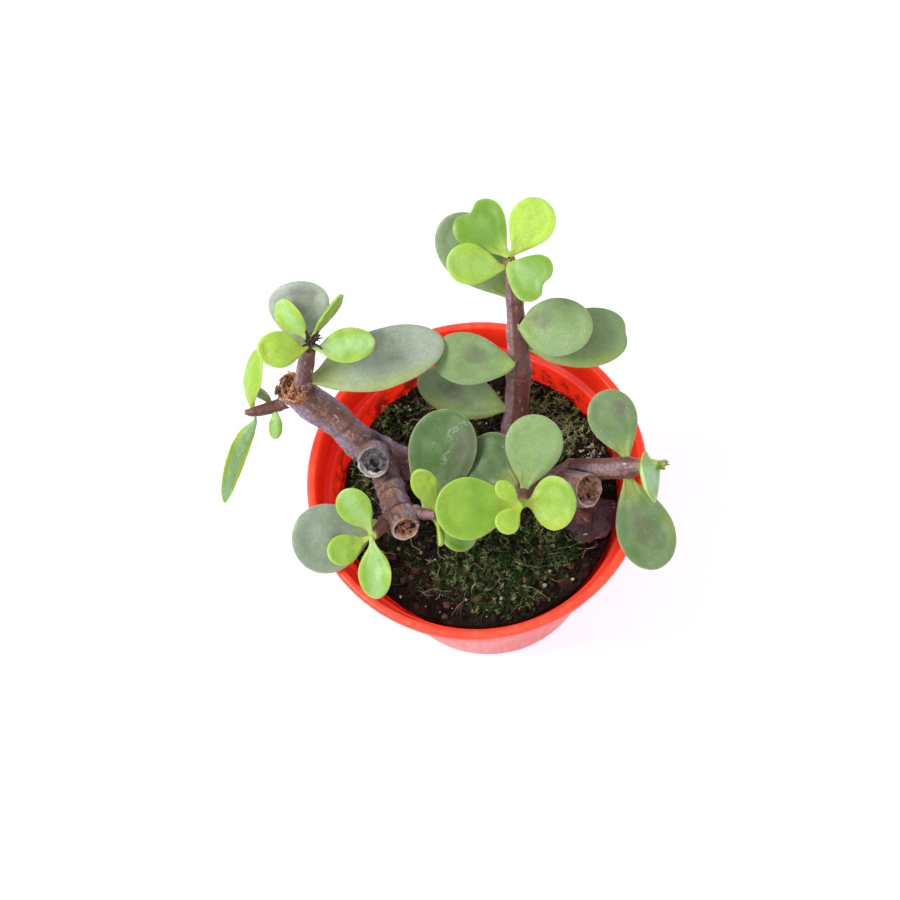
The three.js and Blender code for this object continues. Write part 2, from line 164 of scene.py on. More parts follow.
def blend(tree, share, first, second):
    """First colour to second, by a share from 0 to 1."""
    made = put(tree, "Mix", data_type="RGBA", blend_type="MIX")
    for place, value in ((0, share), (6, first), (7, second)):
        wire(tree, made.inputs[place], value)
    return made.outputs[2]


def maths(tree, how, *values):
    """One sum or comparison of these values."""
    made = put(tree, "Math", operation=how)
    for socket, value in zip(made.inputs, values):
        wire(tree, socket, value)
    return made.outputs[0]


def times(tree, *values):
    """The product of all the values."""
    made = values[0]
    for value in values[1:]:
        made = maths(tree, "MULTIPLY", made, value)
    return made


def plus(tree, *values):
    """The values added up."""
    made = values[0]
    for value in values[1:]:
        made = maths(tree, "ADD", made, value)
    return made


def fade(tree, value, low, high):
    """0 below low, 1 above high, and eased between them."""
    limits = {"Value": value, "From Min": low, "From Max": high}
    return put(tree, "MapRange", limits, interpolation_type="SMOOTHSTEP").outputs["Result"]


def read(tree, name, output="Fac"):
    """A value that the mesh carries for each of its points."""
    return put(tree, "Attribute", attribute_name=name).outputs[output]


def place_of(tree):
    """Where a point of the surface is, in metres."""
    return put(tree, "TexCoord").outputs["Object"]


def finish(name):
    """A new material with its tree and its Principled shader."""
    made = bpy.data.materials.new(name)
    made.use_nodes = True
    return made, made.node_tree, made.node_tree.nodes["Principled BSDF"]


print("node helpers ready")

# %% [markdown]
# Two effects come back in nearly every finish: a soft mottle, where the colour wanders by a few
# millimetres, and scattered specks, such as dust, pores or dried drops. Each is a node group, built
# once. Both take the place to read, so that the same group serves a piece that is patterned by its
# position and a stem whose bark runs along it.

# %% Two shared node groups: a mottle and specks
def new_group(name, inputs, outputs):
    """An empty node group with its sockets: (label, kind, value) in, (label, kind) out."""
    group = bpy.data.node_groups.new(name, "ShaderNodeTree")
    for label, kind, value in inputs:
        socket = group.interface.new_socket(label, in_out="INPUT", socket_type="NodeSocket" + kind)
        if value is not None:
            socket.default_value = value
    for label, kind in outputs:
        group.interface.new_socket(label, in_out="OUTPUT", socket_type="NodeSocket" + kind)
    return group, group.nodes.new("NodeGroupInput").outputs, group.nodes.new("NodeGroupOutput").inputs


def scaled(tree, vector, share):
    """A vector made longer or shorter."""
    return put(tree, "VectorMath", {0: vector, "Scale": share}, operation="SCALE").outputs[0]


MOTTLE, given, taken = new_group(
    "mottle",
    [("Place", "Vector", None), ("Size mm", "Float", 5.0), ("Low", "Float", 0.4), ("High", "Float", 0.6)],
    [("Mask", "Float")],
)
near = scaled(MOTTLE, given["Place"], maths(MOTTLE, "DIVIDE", 1 / MM, given["Size mm"]))
cloud = put(MOTTLE, "TexNoise", {"Vector": near, "Scale": 1.0, "Detail": 4.0, "Roughness": 0.6})
MOTTLE.links.new(fade(MOTTLE, cloud.outputs["Fac"], given["Low"], given["High"]), taken["Mask"])

SPECKS, given, taken = new_group(
    "specks",
    [("Place", "Vector", None), ("Size mm", "Float", 1.0), ("Share", "Float", 0.2), ("Radius", "Float", 0.3)],
    [("Mask", "Float")],
)
near = scaled(SPECKS, given["Place"], maths(SPECKS, "DIVIDE", 1 / MM, given["Size mm"]))
cells = put(SPECKS, "TexVoronoi", {"Vector": near, "Scale": 1.0})
half = maths(SPECKS, "MULTIPLY", given["Radius"], 0.5)
inside = fade(SPECKS, cells.outputs["Distance"], given["Radius"], half)
lot = put(SPECKS, "SeparateColor", {"Color": cells.outputs["Color"]}).outputs[0]
chosen = maths(SPECKS, "LESS_THAN", lot, given["Share"])
SPECKS.links.new(maths(SPECKS, "MULTIPLY", inside, chosen), taken["Mask"])


def mottle(tree, place, size, low=0.4, high=0.6):
    """A mask of soft clouds, so many millimetres across. A narrow step from low to high gives firm edges."""
    values = {"Place": place, "Size mm": size, "Low": low, "High": high}
    return put(tree, "Group", values, node_tree=MOTTLE).outputs["Mask"]


def specks(tree, place, size, share, radius=0.3):
    """A mask of scattered dots in cells of this size: this share of the cells has one of this radius."""
    values = {"Place": place, "Size mm": size, "Share": share, "Radius": radius}
    return put(tree, "Group", values, node_tree=SPECKS).outputs["Mask"]


def bump(tree, height, depth_mm):
    """A bump that is so many millimetres deep."""
    return put(tree, "Bump", {"Height": height, "Strength": 1.0, "Distance": depth_mm * MM}).outputs["Normal"]


print("groups:", MOTTLE.name, SPECKS.name)

# %% [markdown]
# The floor is only lit paper, but a perfectly even grey looks unreal, so a very faint mottle moves
# its brightness by one part in a hundred. The paper also glows a little, as if lit from behind: a
# shadow on it then stays pale, and the pot doesn't stain it red.

# %% The floor's paper
paper, tree, shader = finish("backdrop_paper")
wander = mottle(tree, place_of(tree), 80)
wire(tree, shader.inputs["Base Color"], blend(tree, wander, (0.42, 0.44, 0.46, 1), (0.44, 0.45, 0.46, 1)))
wire(tree, shader.inputs["Emission Color"], blend(tree, wander, (0.88, 0.885, 1.0, 1), (0.90, 0.90, 1.0, 1)))
shader.inputs["Emission Strength"].default_value = 0.78
shader.inputs["Roughness"].default_value = 0.9
shader.inputs["Specular IOR Level"].default_value = 0.1
floor.data.materials.append(paper)
print("floor dressed in", paper.name)

# %% [markdown]
# ## The pot
#
# The pot is thin red plastic, blown or moulded in one piece. From the top down it has a rounded lip
# that stands out a little, a smooth collar, a ledge inside it where the next pot in a stack would
# rest, and a tapered wall. Underneath, a ring with notches and a small pad in the middle carry it,
# and round holes let the water out.
#
# A pot is a body of revolution. It could be a cylinder that is scaled ring by ring, but it is quicker
# and truer to draw half of its section once and spin it. The section is drawn point by point with
# extrude, its corners are then rounded by a bevel, and the holes are cut last.

# %% Helpers that extrude and spin a profile
def lone_point(name, place):
    """A new object that holds one vertex: a plane with all but one corner deleted."""
    bpy.ops.object.select_all(action="DESELECT")
    bpy.ops.mesh.primitive_plane_add(size=MM, location=(0, 0, 0))
    made = bpy.context.object
    made.name = name
    bpy.ops.object.mode_set(mode="EDIT")
    mesh = bmesh.from_edit_mesh(made.data)
    mesh.verts.ensure_lookup_table()
    for vertex in mesh.verts:
        vertex.select_set(vertex.index > 0)
    bpy.ops.mesh.delete(type="VERT")
    mesh = bmesh.from_edit_mesh(made.data)
    mesh.verts.ensure_lookup_table()
    mesh.verts[0].co = Vector(place)
    mesh.verts[0].select_set(True)
    bmesh.update_edit_mesh(made.data)
    return made


def spun(name, profile, steps):
    """A closed body of revolution from a profile of (radius, height) in millimetres."""
    made = lone_point(name, (profile[0][0] * MM, 0, profile[0][1] * MM))
    for before, after in zip(profile, profile[1:]):
        step = ((after[0] - before[0]) * MM, 0, (after[1] - before[1]) * MM)
        bpy.ops.mesh.extrude_vertices_move(TRANSFORM_OT_translate={"value": step})
    bpy.ops.mesh.select_all(action="SELECT")
    bpy.ops.mesh.spin(steps=steps, angle=2 * math.pi, center=(0, 0, 0), axis=(0, 0, 1))
    bpy.ops.mesh.select_all(action="SELECT")
    bpy.ops.mesh.remove_doubles(threshold=0.002 * MM)
    bpy.ops.mesh.normals_make_consistent(inside=False)
    bpy.ops.object.mode_set(mode="OBJECT")
    return made


def alone(obj):
    """Selects this object and nothing else."""
    if bpy.context.object and bpy.context.object.mode != "OBJECT":
        bpy.ops.object.mode_set(mode="OBJECT")
    bpy.ops.object.select_all(action="DESELECT")
    obj.select_set(True)
    bpy.context.view_layer.objects.active = obj


def apply_all(obj):
    """Makes an object's modifiers part of its mesh."""
    alone(obj)
    for modifier in list(obj.modifiers):
        bpy.ops.object.modifier_apply(modifier=modifier.name)


POT_PROFILE = [
    # the pad in the middle of the underside, and the foot ring
    (0, 0), (7, 0), (7.8, 1.5), (23, 1.5), (23.8, 0), (27.2, 0), (28, 0.8),
    # up the tapered wall, out under the collar, and up the collar to the lip
    (38.2, 53.6), (40.1, 53.6), (40.5, 54.2), (41.2, 61.8), (42.2, 61.8), (42.5, 62.3),
    # over the lip, down the collar's inside to the ledge, and down the wall to the floor
    (42.5, 63.3), (42, 64), (40.6, 64), (40.3, 63.6), (39.3, 55.2), (37.4, 55),
    (26.3, 3.4), (24.9, 2.7), (0, 2.7),
]
POT_FACETS = 144
CORNER_ROUNDING = 0.28 * MM
pot = spun("nursery_pot", POT_PROFILE, POT_FACETS)
rounding = pot.modifiers.new("rounded corners", "BEVEL")
rounding.width = CORNER_ROUNDING
rounding.segments = 2
rounding.limit_method = "ANGLE"
rounding.angle_limit = math.radians(25)
apply_all(pot)
print("pot spun:", len(pot.data.polygons), "faces")

# %% [markdown]
# The drain holes and the notches in the foot ring are cut with one Boolean: round pegs and small
# blocks are joined into a cutter, which is subtracted and thrown away.

# %% Cut the drain holes and the foot notches
HOLES = 6
HOLE_CIRCLE, HOLE_RADIUS, PEG_LENGTH = 15 * MM, 2.2 * MM, 10 * MM
FOOT_RING, NOTCH = 28 * MM, (10 * MM, 4 * MM, 3 * MM)

bpy.ops.object.select_all(action="DESELECT")
cutters = []
for i in range(HOLES):
    turn = i * 2 * math.pi / HOLES
    spot = (HOLE_CIRCLE * math.cos(turn), HOLE_CIRCLE * math.sin(turn), 0)
    bpy.ops.mesh.primitive_cylinder_add(vertices=32, radius=HOLE_RADIUS, depth=PEG_LENGTH, location=spot)
    cutters.append(bpy.context.object)
    # A notch lies halfway to the next hole.
    turn += math.pi / HOLES
    spot = (FOOT_RING * math.cos(turn), FOOT_RING * math.sin(turn), 0)
    bpy.ops.mesh.primitive_cube_add(size=1, location=spot, rotation=(0, 0, turn), scale=NOTCH)
    cutters.append(bpy.context.object)
for cutter in cutters:
    cutter.select_set(True)
bpy.context.view_layer.objects.active = cutters[0]
bpy.ops.object.join()
cutter = bpy.context.object
drill = pot.modifiers.new("drain holes", "BOOLEAN")
drill.object = cutter
drill.operation = "DIFFERENCE"
drill.solver = "EXACT"
apply_all(pot)
bpy.data.objects.remove(cutter)
bpy.ops.object.shade_smooth_by_angle(angle=math.radians(38))
print("pot finished:", len(pot.data.polygons), "faces")

# %% [markdown]
# The plastic is an orange-leaning red, thin enough for daylight to shine through, so the inside of
# the pot glows. Subsurface light with a long reach in red gives part of that glow, and a little light
# of its own the rest. Handling has left fine scratches round the lip, and a painted highlight makes its
# rounded top paler. A picture could be wrapped round the pot for these, but masks made from height and
# radius need no picture and sit exactly on the lip and the wall.

# %% The pot's worn red plastic
def long_side(tree, across, along):
    """The long side of a right triangle, from its two short ones."""
    return maths(tree, "SQRT", plus(tree, times(tree, across, across), times(tree, along, along)))


plastic, tree, shader = finish("red_plastic")
where = place_of(tree)
parts = put(tree, "SeparateXYZ", {"Vector": where}).outputs
radius = long_side(tree, parts["X"], parts["Y"])
height = parts["Z"]
cloudy = mottle(tree, where, 14, 0.3, 0.7)
red = blend(tree, cloudy, (0.93, 0.040, 0.010, 1), (0.97, 0.062, 0.018, 1))
# A painted highlight makes the lip paler along its rounded top, in patches.
lip = fade(tree, height, 63.3 * MM, 63.9 * MM)
wear_and_lip_highlight = times(tree, lip, mottle(tree, where, 2.5, 0.4, 0.8))
red = blend(tree, times(tree, wear_and_lip_highlight, 0.4), red, (0.93, 0.20, 0.11, 1))
# Fine scratches and moulding streaks: a noise that is stretched along the turn, and one upwards.
angle = maths(tree, "ARCTAN2", parts["Y"], parts["X"])
around = put(tree, "CombineXYZ", {"X": times(tree, angle, 0.010), "Y": radius, "Z": height}).outputs[0]
scratches = mottle(tree, around, 0.35, 0.56, 0.72)
upward = put(tree, "CombineXYZ", {"X": times(tree, angle, 0.04), "Y": times(tree, height, 0.05)}).outputs[0]
streaks = mottle(tree, upward, 1.6, 0.35, 0.7)
red = blend(tree, times(tree, streaks, 0.35), red, (0.88, 0.030, 0.012, 1))
# A cone that runs within the thickness of the wall tells the pot's inside from its outside.
CONE_FOOT, CONE_LEAN = 26.9 * MM, 0.2005
inner = maths(tree, "LESS_THAN", radius, plus(tree, CONE_FOOT, times(tree, height, CONE_LEAN)))
# Outside, below the lip, the wall is a deeper red, because no light comes through it from behind.
outside = times(tree, fade(tree, height, 61 * MM, 55 * MM), maths(tree, "SUBTRACT", 1.0, inner))
red = blend(tree, times(tree, outside, 0.8), red, (0.74, 0.018, 0.006, 1))
print("clean plastic:", len(tree.nodes), "nodes")

# %% [markdown]
# Watering has splashed the inside with peat: a brown film and crumbs close above the soil. In front
# on the right the foot of the wall is nearly black, partly with wet peat and partly with painted shade.
# All of this is gathered in one mask, because it does three things at once: it darkens the red, dulls
# it, and stops the glow.

# %% Peat on the pot's wall
low_down = fade(tree, height, 57 * MM, 50 * MM)
film_and_shade = times(tree, inner, low_down, mottle(tree, where, 4, 0.40, 0.62))
# In front on the right the foot of the wall is almost black: partly wet peat, partly painted shade.
rightward = plus(tree, times(tree, parts["X"], 0.80), times(tree, parts["Y"], -0.60))
wet_and_shaded_foot = times(tree, inner, fade(tree, rightward, 14 * MM, 28 * MM), fade(tree, height, 59 * MM, 52 * MM))
film_and_shade = maths(tree, "MAXIMUM", film_and_shade, times(tree, wet_and_shaded_foot, plus(tree, 0.6, times(tree, cloudy, 0.4))))
crumbs = times(tree, inner, fade(tree, height, 61 * MM, 54 * MM), specks(tree, where, 1.3, 0.16, 0.32))
grime = specks(tree, where, 2.4, 0.03, 0.16)
dirt_and_shade = maths(tree, "MAXIMUM", maths(tree, "MAXIMUM", times(tree, film_and_shade, 0.85), crumbs), grime)
# Dirt, and the painted shade at the foot of the wall, darken the red.
colour = blend(tree, dirt_and_shade, red, (0.030, 0.014, 0.009, 1))
wire(tree, shader.inputs["Base Color"], colour)
dull = plus(tree, times(tree, scratches, 0.15), times(tree, dirt_and_shade, 0.4), times(tree, streaks, 0.10))
wire(tree, shader.inputs["Roughness"], plus(tree, 0.30, times(tree, cloudy, 0.06), dull))
shader.inputs["Subsurface Weight"].default_value = 0.7
shader.inputs["Subsurface Radius"].default_value = (1.0, 0.12, 0.05)
shader.inputs["Subsurface Scale"].default_value = 8 * MM
# Daylight comes through the thin wall, so inside and on the lip the clean plastic also glows a little.
lit = maths(tree, "MAXIMUM", inner, fade(tree, height, 60 * MM, 63.5 * MM))
clean_and_unshaded = maths(tree, "SUBTRACT", 1.0, dirt_and_shade)
glow = blend(tree, times(tree, lit, clean_and_unshaded), (0, 0, 0, 1), (0.95, 0.035, 0.012, 1))
wire(tree, shader.inputs["Emission Color"], glow)
shader.inputs["Emission Strength"].default_value = 0.24
relief = plus(tree, times(tree, dirt_and_shade, 0.7), times(tree, scratches, -0.15))
wire(tree, shader.inputs["Normal"], bump(tree, relief, 0.12))
pot.data.materials.append(plastic)
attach(pot, "root")
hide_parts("pot")
print("pot dressed in", plastic.name)

# %% [markdown]
# ## The lines of the wood
#
# Bark is patterned along the stem that it covers, and so are its rings, its scars and its sawn ends.
# To place them, each limb's middle line is written down: the points it passes through and its radius
# at each. A curve object would give the same, but a plain list of close points with a direction at
# each is easier to measure from, and that is all that is needed: how far along the limb a point lies,
# and where round it.

# %% Middle lines of the old limbs and the young shoots
# For each limb: the points that its middle passes through, and its radius at each, in millimetres.
WOOD = {
    "stem": (
        [(25, -11.6, 34), (25.8, -11.8, 42), (25.2, -11.2, 48.6), (21.4, -8, 53.4), (14.5, -3, 55.3),
         (6, 1, 55), (-6, 5, 55.5), (-16.5, 8.8, 58), (-24.6, 11.5, 64), (-31, 16.4, 73), (-41, 23.4, 84.2)],
        [2.6, 4.6, 5.8, 6, 5.3, 4.9, 4.6, 4.3, 4.5, 4, 4.1]),
    "flare": (
        [(26, -11, 49.5), (28.5, -14.5, 48.2), (29.5, -16.5, 46.5)],
        [4.2, 2.6, 1.2]),
    "face_stub": (
        [(-24.4, 11, 63.5), (-24.4, 8, 67.5), (-24.3, 5.1, 71)],
        [3.9, 4, 4.1]),
    "ring_branch": (
        [(-22.6, 9.5, 61), (-22, 3, 61.8), (-20.9, -4, 64), (-19.4, -12.8, 68.8)],
        [3.8, 3.5, 3.3, 3.4]),
    "right_stub": (
        [(15.5, -3, 55.5), (20.6, -7, 62.5), (26.1, -12, 69.6)],
        [4.2, 4.1, 4.2]),
}
SHOOTS = {
    "top": (
        [(-35.6, 19.4, 78), (-37, 22.4, 86), (-35.3, 24, 93), (-33.4, 25.8, 98.5), (-32.5, 26.8, 101.3)],
        [2.3, 2.2, 2, 1.7, 1]),
    "side": (
        [(-38.6, 21, 81.6), (-45.8, 19.6, 82.3), (-50.2, 18.4, 84), (-52.4, 18.4, 84.6)],
        [1.6, 1.5, 1.3, 0.6]),
    "under": (
        [(-20.7, -5, 64.6), (-24.6, -10.6, 68.4), (-27.6, -14.2, 72), (-28.4, -15.4, 74)],
        [1.8, 1.6, 1.4, 0.8]),
    "beside": (
        [(-20, -6.5, 65.8), (-14.2, -9.6, 68), (-11, -12.2, 73), (-10.7, -12.8, 75)],
        [1.6, 1.4, 1.1, 0.6]),
    "middle": (
        [(8.5, 0, 55), (10, -9.2, 70), (9.3, -14.9, 77), (8.8, -16.8, 80.6)],
        [2.5, 2.1, 1.4, 0.9]),
    "back": (
        [(9, 0.5, 54.5), (11.8, 12, 58.8), (15, 20.4, 75), (15.9, 26, 84.5), (16.6, 30.6, 94),
         (16.7, 34.6, 103.2), (16.7, 36.6, 107.6)],
        [3.3, 3.2, 3.1, 2.4, 2.1, 1.6, 1]),
    "right": (
        [(16, -2.5, 56), (24.5, -4, 63.3), (36, -8.8, 71.6), (40.4, -10.7, 75.4), (44.2, -12.3, 78.4)],
        [2.8, 2.9, 2.6, 1.6, 1]),
}
# How many close points stand for each stretch between two of those.
STEPS = 8


class Line:
    """A limb's middle line: close points, radii, directions, and how far along each is."""

    def __init__(self, points, radii):
        # One more point is guessed beyond each end, so that the first and last stretch can curve too.
        first = 2 * np.array(points[0]) - points[1]
        last = 2 * np.array(points[-1]) - points[-2]
        ends = [first, *map(np.array, points), last]
        spots, sizes = [], []
        for i in range(1, len(ends) - 2):
            before, here, after, beyond = ends[i - 1:i + 3]
            for j in range(STEPS):
                share = j / STEPS
                twice = (2 * here + (after - before) * share
                         + (2 * before - 5 * here + 4 * after - beyond) * share**2
                         + (3 * here - before - 3 * after + beyond) * share**3)
                spots.append(twice / 2)
                sizes.append(radii[i - 1] * (1 - share) + radii[i] * share)
        spots.append(ends[-2])
        sizes.append(radii[-1])
        self.points = np.array(spots) * MM
        self.radii = np.array(sizes) * MM
        steps = np.diff(self.points, axis=0)
        self.along = np.concatenate([[0], np.cumsum(np.linalg.norm(steps, axis=1))])
        self.ahead = np.gradient(self.points, axis=0)
        self.ahead /= np.linalg.norm(self.ahead, axis=1)[:, None]
        # The sideways direction starts square to the limb and is carried along without twisting.
        side = np.cross(self.ahead[0], (0.3, 0.9, 0.2))
        sides = []
        for ahead in self.ahead:
            side = side - ahead * side.dot(ahead)
            side = side / np.linalg.norm(side)
            sides.append(side)
        self.side = np.array(sides)
        self.over = np.cross(self.ahead, self.side)
        self.joints = self.along[::STEPS]
        self.length = self.along[-1]


wood_lines = {name: Line(*row) for name, row in WOOD.items()}
shoot_lines = {name: Line(*row) for name, row in SHOOTS.items()}
print("limbs, mm:", {name: round(line.length / MM) for name, line in {**wood_lines, **shoot_lines}.items()})

# %% [markdown]
# With the lines known, one function answers the question that every bark effect asks: for each point
# of a mesh, which limb is nearest, how far along that limb it lies, how far out, and where round it.

# %% Measure a mesh against the lines
def points_of(obj):
    """The places of an object's points, one row each, in metres."""
    flat = np.empty(3 * len(obj.data.vertices))
    obj.data.vertices.foreach_get("co", flat)
    return flat.reshape(-1, 3)


def move_points(obj, points):
    """Gives an object's points new places."""
    obj.data.vertices.foreach_set("co", points.ravel())
    obj.data.update()


def normals_of(obj):
    """The direction that the surface faces at each point."""
    flat = np.empty(3 * len(obj.data.vertices))
    obj.data.vertices.foreach_get("normal", flat)
    return flat.reshape(-1, 3)


def carry(obj, name, values):
    """Stores a number or a vector for each point of the mesh, for its material to read."""
    values = np.asarray(values, dtype=float)
    kind, field = ("FLOAT", "value") if values.ndim == 1 else ("FLOAT_VECTOR", "vector")
    stored = obj.data.attributes.new(name, kind, "POINT")
    stored.data.foreach_set(field, values.ravel())


def measure(points, lines):
    """For each point: its line's number, how far along it and out in metres, and two shares round it."""
    tree = KDTree(sum(len(line.points) for line in lines))
    rows = [(number, i) for number, line in enumerate(lines) for i in range(len(line.points))]
    for key, (number, i) in enumerate(rows):
        tree.insert(lines[number].points[i], key)
    tree.balance()
    found = np.empty((len(points), 5))
    for row, point in enumerate(points):
        number, i = rows[tree.find(point)[1]]
        line = lines[number]
        offset = point - line.points[i]
        ahead = offset.dot(line.ahead[i])
        outward = offset - line.ahead[i] * ahead
        out = math.sqrt(outward.dot(outward)) + 1e-9
        round_it = outward.dot(line.side[i]) / out, outward.dot(line.over[i]) / out
        found[row] = (number, line.along[i] + ahead, out, *round_it)
    return found


def fractal(points, size_mm, octaves=3, seed=0.0):
    """Soft noise for each point, from about -1 to 1, with hills this far apart and finer ones on them."""
    near = points / (size_mm * MM) + seed
    return np.array([noise.fractal(Vector(p), 0.9, 2.0, octaves) for p in near])


print("measuring helpers ready")

# %% [markdown]
# ## The old wood
#
# The old stem is as thick as a finger and lies nearly flat over the soil. Its bark is thin and
# smooth, browner where it has rubbed, with a painted lilac sheen on the sides that catch the light,
# fine wrinkles across it and rings where leaves once grew. The limbs were sawn off: one stub faces the
# camera with dry black wood inside a pale rim, two are brown, and the far end was torn rather than cut.
#
# It could be sculpted from tubes, but the solid already has the right limbs. So a copy of it is
# welded, wrapped in an even skin with Remesh, smoothed until its flats are gone, and its bark is then
# raised point by point along the lines.

# %% A helper that copies a node's solid as one welded mesh
def welded_copy(node, name):
    """A new object with this node's shape, its loose triangles merged."""
    made = bpy.data.objects.new(name, frame["nodes"][node].data.copy())
    scene.collection.objects.link(made)
    made.data.materials.clear()
    alone(made)
    bpy.ops.object.mode_set(mode="EDIT")
    bpy.ops.mesh.select_all(action="SELECT")
    bpy.ops.mesh.remove_doubles(threshold=0.001 * MM)
    bpy.ops.object.mode_set(mode="OBJECT")
    return made


def wrap(obj, voxel_mm, rounds):
    """An even skin of small quads over everything in the object, smoothed."""
    skin = obj.modifiers.new("skin", "REMESH")
    skin.mode = "VOXEL"
    skin.voxel_size = voxel_mm * MM
    soften = obj.modifiers.new("soften", "SMOOTH")
    soften.factor = 0.5
    soften.iterations = rounds
    apply_all(obj)
    bpy.ops.object.shade_smooth()
    return obj


print("wrap and copy helpers ready")

# %% [markdown]
# Where a shoot leaves the old wood, the bark swells into a collar round its foot. A ball is added at
# each of these places before the skin is wrapped, so that the skin runs over it in one smooth curve.

# %% Wrap the old wood with a collar for each shoot
COLLAR = 1.14
old_wood = welded_copy("trunk", "old_wood")
wood_names = list(wood_lines)
balls = []
for line in shoot_lines.values():
    row = measure(line.points, list(wood_lines.values()))
    reach = np.array([wood_lines[wood_names[int(number)]].radii.mean() for number in row[:, 0]])
    # The shoot leaves the wood at its first point that lies about as far out as the bark.
    leaving = int(np.argmax(row[:, 2] > reach * 0.95))
    size, spot = line.radii[leaving] * COLLAR, line.points[leaving]
    bpy.ops.object.select_all(action="DESELECT")
    bpy.ops.mesh.primitive_uv_sphere_add(segments=24, ring_count=16, radius=size, location=spot)
    balls.append(bpy.context.object)
alone(old_wood)
for ball in balls:
    ball.select_set(True)
bpy.ops.object.join()
wrap(old_wood, 0.3, 7)
print("old wood wrapped:", len(old_wood.data.vertices), "points,", len(balls), "collars")

# %% [markdown]
# Now the bark is raised. Along the stem run long shallow ridges, across it fine wrinkles, and over it
# all a slow lumpiness. The ring branch has deep slanting folds, one above another, with swollen wood
# between them. At a sawn end the bark stands up as a thin rim round the dry wood, which has shrunk
# back, split from the middle outwards, and rotted into pits.

# %% Raise the bark
# Each fold: where it lies along its limb, how deep it is and how far it slants, in millimetres.
FOLDS = {
    "ring_branch": [(7.6, 0.8, 0.9), (12.4, 0.75, -1.3), (17.6, 1.0, 0.8)],
    "stem": [(52, 0.5, 0.3), (57, 0.3, -0.6), (86, 0.4, 0.3)],
    "right_stub": [(8.5, 0.5, 0.4), (11.5, 0.4, -0.4)], "face_stub": [(3.4, 0.7, 0.8)],
}
points = points_of(old_wood)
facing = normals_of(old_wood)
row = measure(points, [wood_lines[name] for name in wood_names])
limb, along, out = row[:, 0].astype(int), row[:, 1], row[:, 2]
# Where a point lies on the bark: along the limb, and across it in two directions. Each limb has its own
# stretch of the bark's pattern.
LIMB_SPACING = 40
bark_place = np.stack([along, out * row[:, 3], out * row[:, 4]], axis=1)
bark_place += limb[:, None] * LIMB_SPACING * MM
ridges = fractal(bark_place * (0.22, 1, 1), 1.8, 3)
wrinkles = fractal(bark_place * (1, 0.3, 0.3), 0.55, 2, 7.0)
lumps = fractal(points, 4.5, 2, 3.0)
rise = 0.20 * ridges + 0.08 * wrinkles + 0.22 * lumps
fold_mask, wear_and_lip_highlight = np.zeros(len(points)), np.zeros(len(points))
for name, folds in FOLDS.items():
    mine = limb == wood_names.index(name)
    for spot, strength, slant in folds:
        waver = 0.5 * fractal(bark_place * (0, 1, 1), 3.0, 1, spot) + slant * row[:, 3]
        gap = along / MM - spot - waver
        groove = mine * np.exp(-((gap / 0.36) ** 2))
        swell = mine * np.exp(-(((gap - 1.5) / 1.1) ** 2))
        rise += strength * (0.50 * swell - 0.55 * groove)
        fold_mask = np.maximum(fold_mask, strength * groove)
        wear_and_lip_highlight = np.maximum(wear_and_lip_highlight, strength * swell)
# The crown, where the root flares out of the soil, is cracked and dark.
crown = (limb == wood_names.index("flare")) | ((limb == 0) & (along < 26 * MM))
rise += crown * (0.55 * fractal(points, 2.2, 3, 11.0))
print("bark raised on", len(points), "points")

# %% Work the sawn ends
CUT_ENDS = {
    # how grey the dry wood has weathered, how ragged its rim is, and how deep it has shrunk in millimetres
    "stem": (0.0, 1.0, 1.9),
    "face_stub": (1.0, 0.2, 0.35),
    "ring_branch": (0.1, 0.45, 0.7),
    "right_stub": (0.3, 0.8, 1.2),
}
cut, ring, weathered, pits, lower = (np.zeros(len(points)) for _ in range(5))
moved = points + facing * (rise * MM)[:, None]
for name, (grey, ragged, shrunk) in CUT_ENDS.items():
    line = wood_lines[name]
    end, ahead, size = line.points[-1], line.ahead[-1], line.radii[-1]
    offset = points - end
    forward = offset @ ahead
    across = np.linalg.norm(offset - forward[:, None] * ahead, axis=1) / size
    turn = np.arctan2(offset @ line.over[-1], offset @ line.side[-1])
    on_end = (forward > -1.6 * MM) & (forward < 2 * MM) & (across < 1.25) & (facing @ ahead > 0.25) | (
        (np.abs(forward) < 1.6 * MM) & (across < 0.8))
    inner = on_end * np.clip((0.84 - across) / 0.1, 0, 1)
    rim = on_end * np.exp(-(((across - 0.92) / 0.09) ** 2))
    hole = np.clip(2.2 * fractal(points, 2.0, 2, 5.0 + grey) - 0.15, 0, 1)
    spokes = np.stack([np.cos(turn), np.sin(turn), 0.15 * across], axis=1)
    split = np.clip(1 - np.abs(fractal(spokes * MM, 0.42, 1, 4.0)) / 0.09, 0, 1) * np.clip(across * 3, 0, 1)
    # The weathered grey end has rotted on its lower left only.
    rotten = grey * np.clip(0.30 - 1.4 * (offset @ np.array((0.75, 0.60, 0.3))) / size, 0, 1)
    hole = np.clip(hole * (1 - grey) + rotten * (3 * hole + 0.3), 0, 1)
    split *= 1 - 0.8 * grey
    tooth = fractal(spokes * (MM, MM, 0), 0.30, 2, grey)
    years = np.sin(across * 30 + 1.2 * fractal(points, 3.0, 1, 9.0))
    gone = np.maximum(hole, 0.6 * split)
    depth = -inner * (shrunk + 0.8 * gone - 0.05 * years + 0.1 * fractal(points, 0.7, 2)) + rim * (
        0.22 + 0.5 * ragged * tooth)
    flat = (forward / MM) * inner * 0.6
    moved += ahead * ((depth - flat) * MM)[:, None]
    cut = np.maximum(cut, np.maximum(inner, 0.75 * rim))
    ring = np.where(on_end, across + 0.12 * rotten, ring)
    weathered = np.where(on_end, grey, weathered)
    above = 1.1 * (offset @ np.array((0.45, 0.30, 0.85))) / size
    lower = np.where(on_end, np.clip(0.25 - above, 0, 1), lower)
    pits = np.maximum(pits, inner * gone)
print("sawn ends:", {name: round(float(wood_lines[name].radii[-1] / MM), 1) for name in CUT_ENDS})

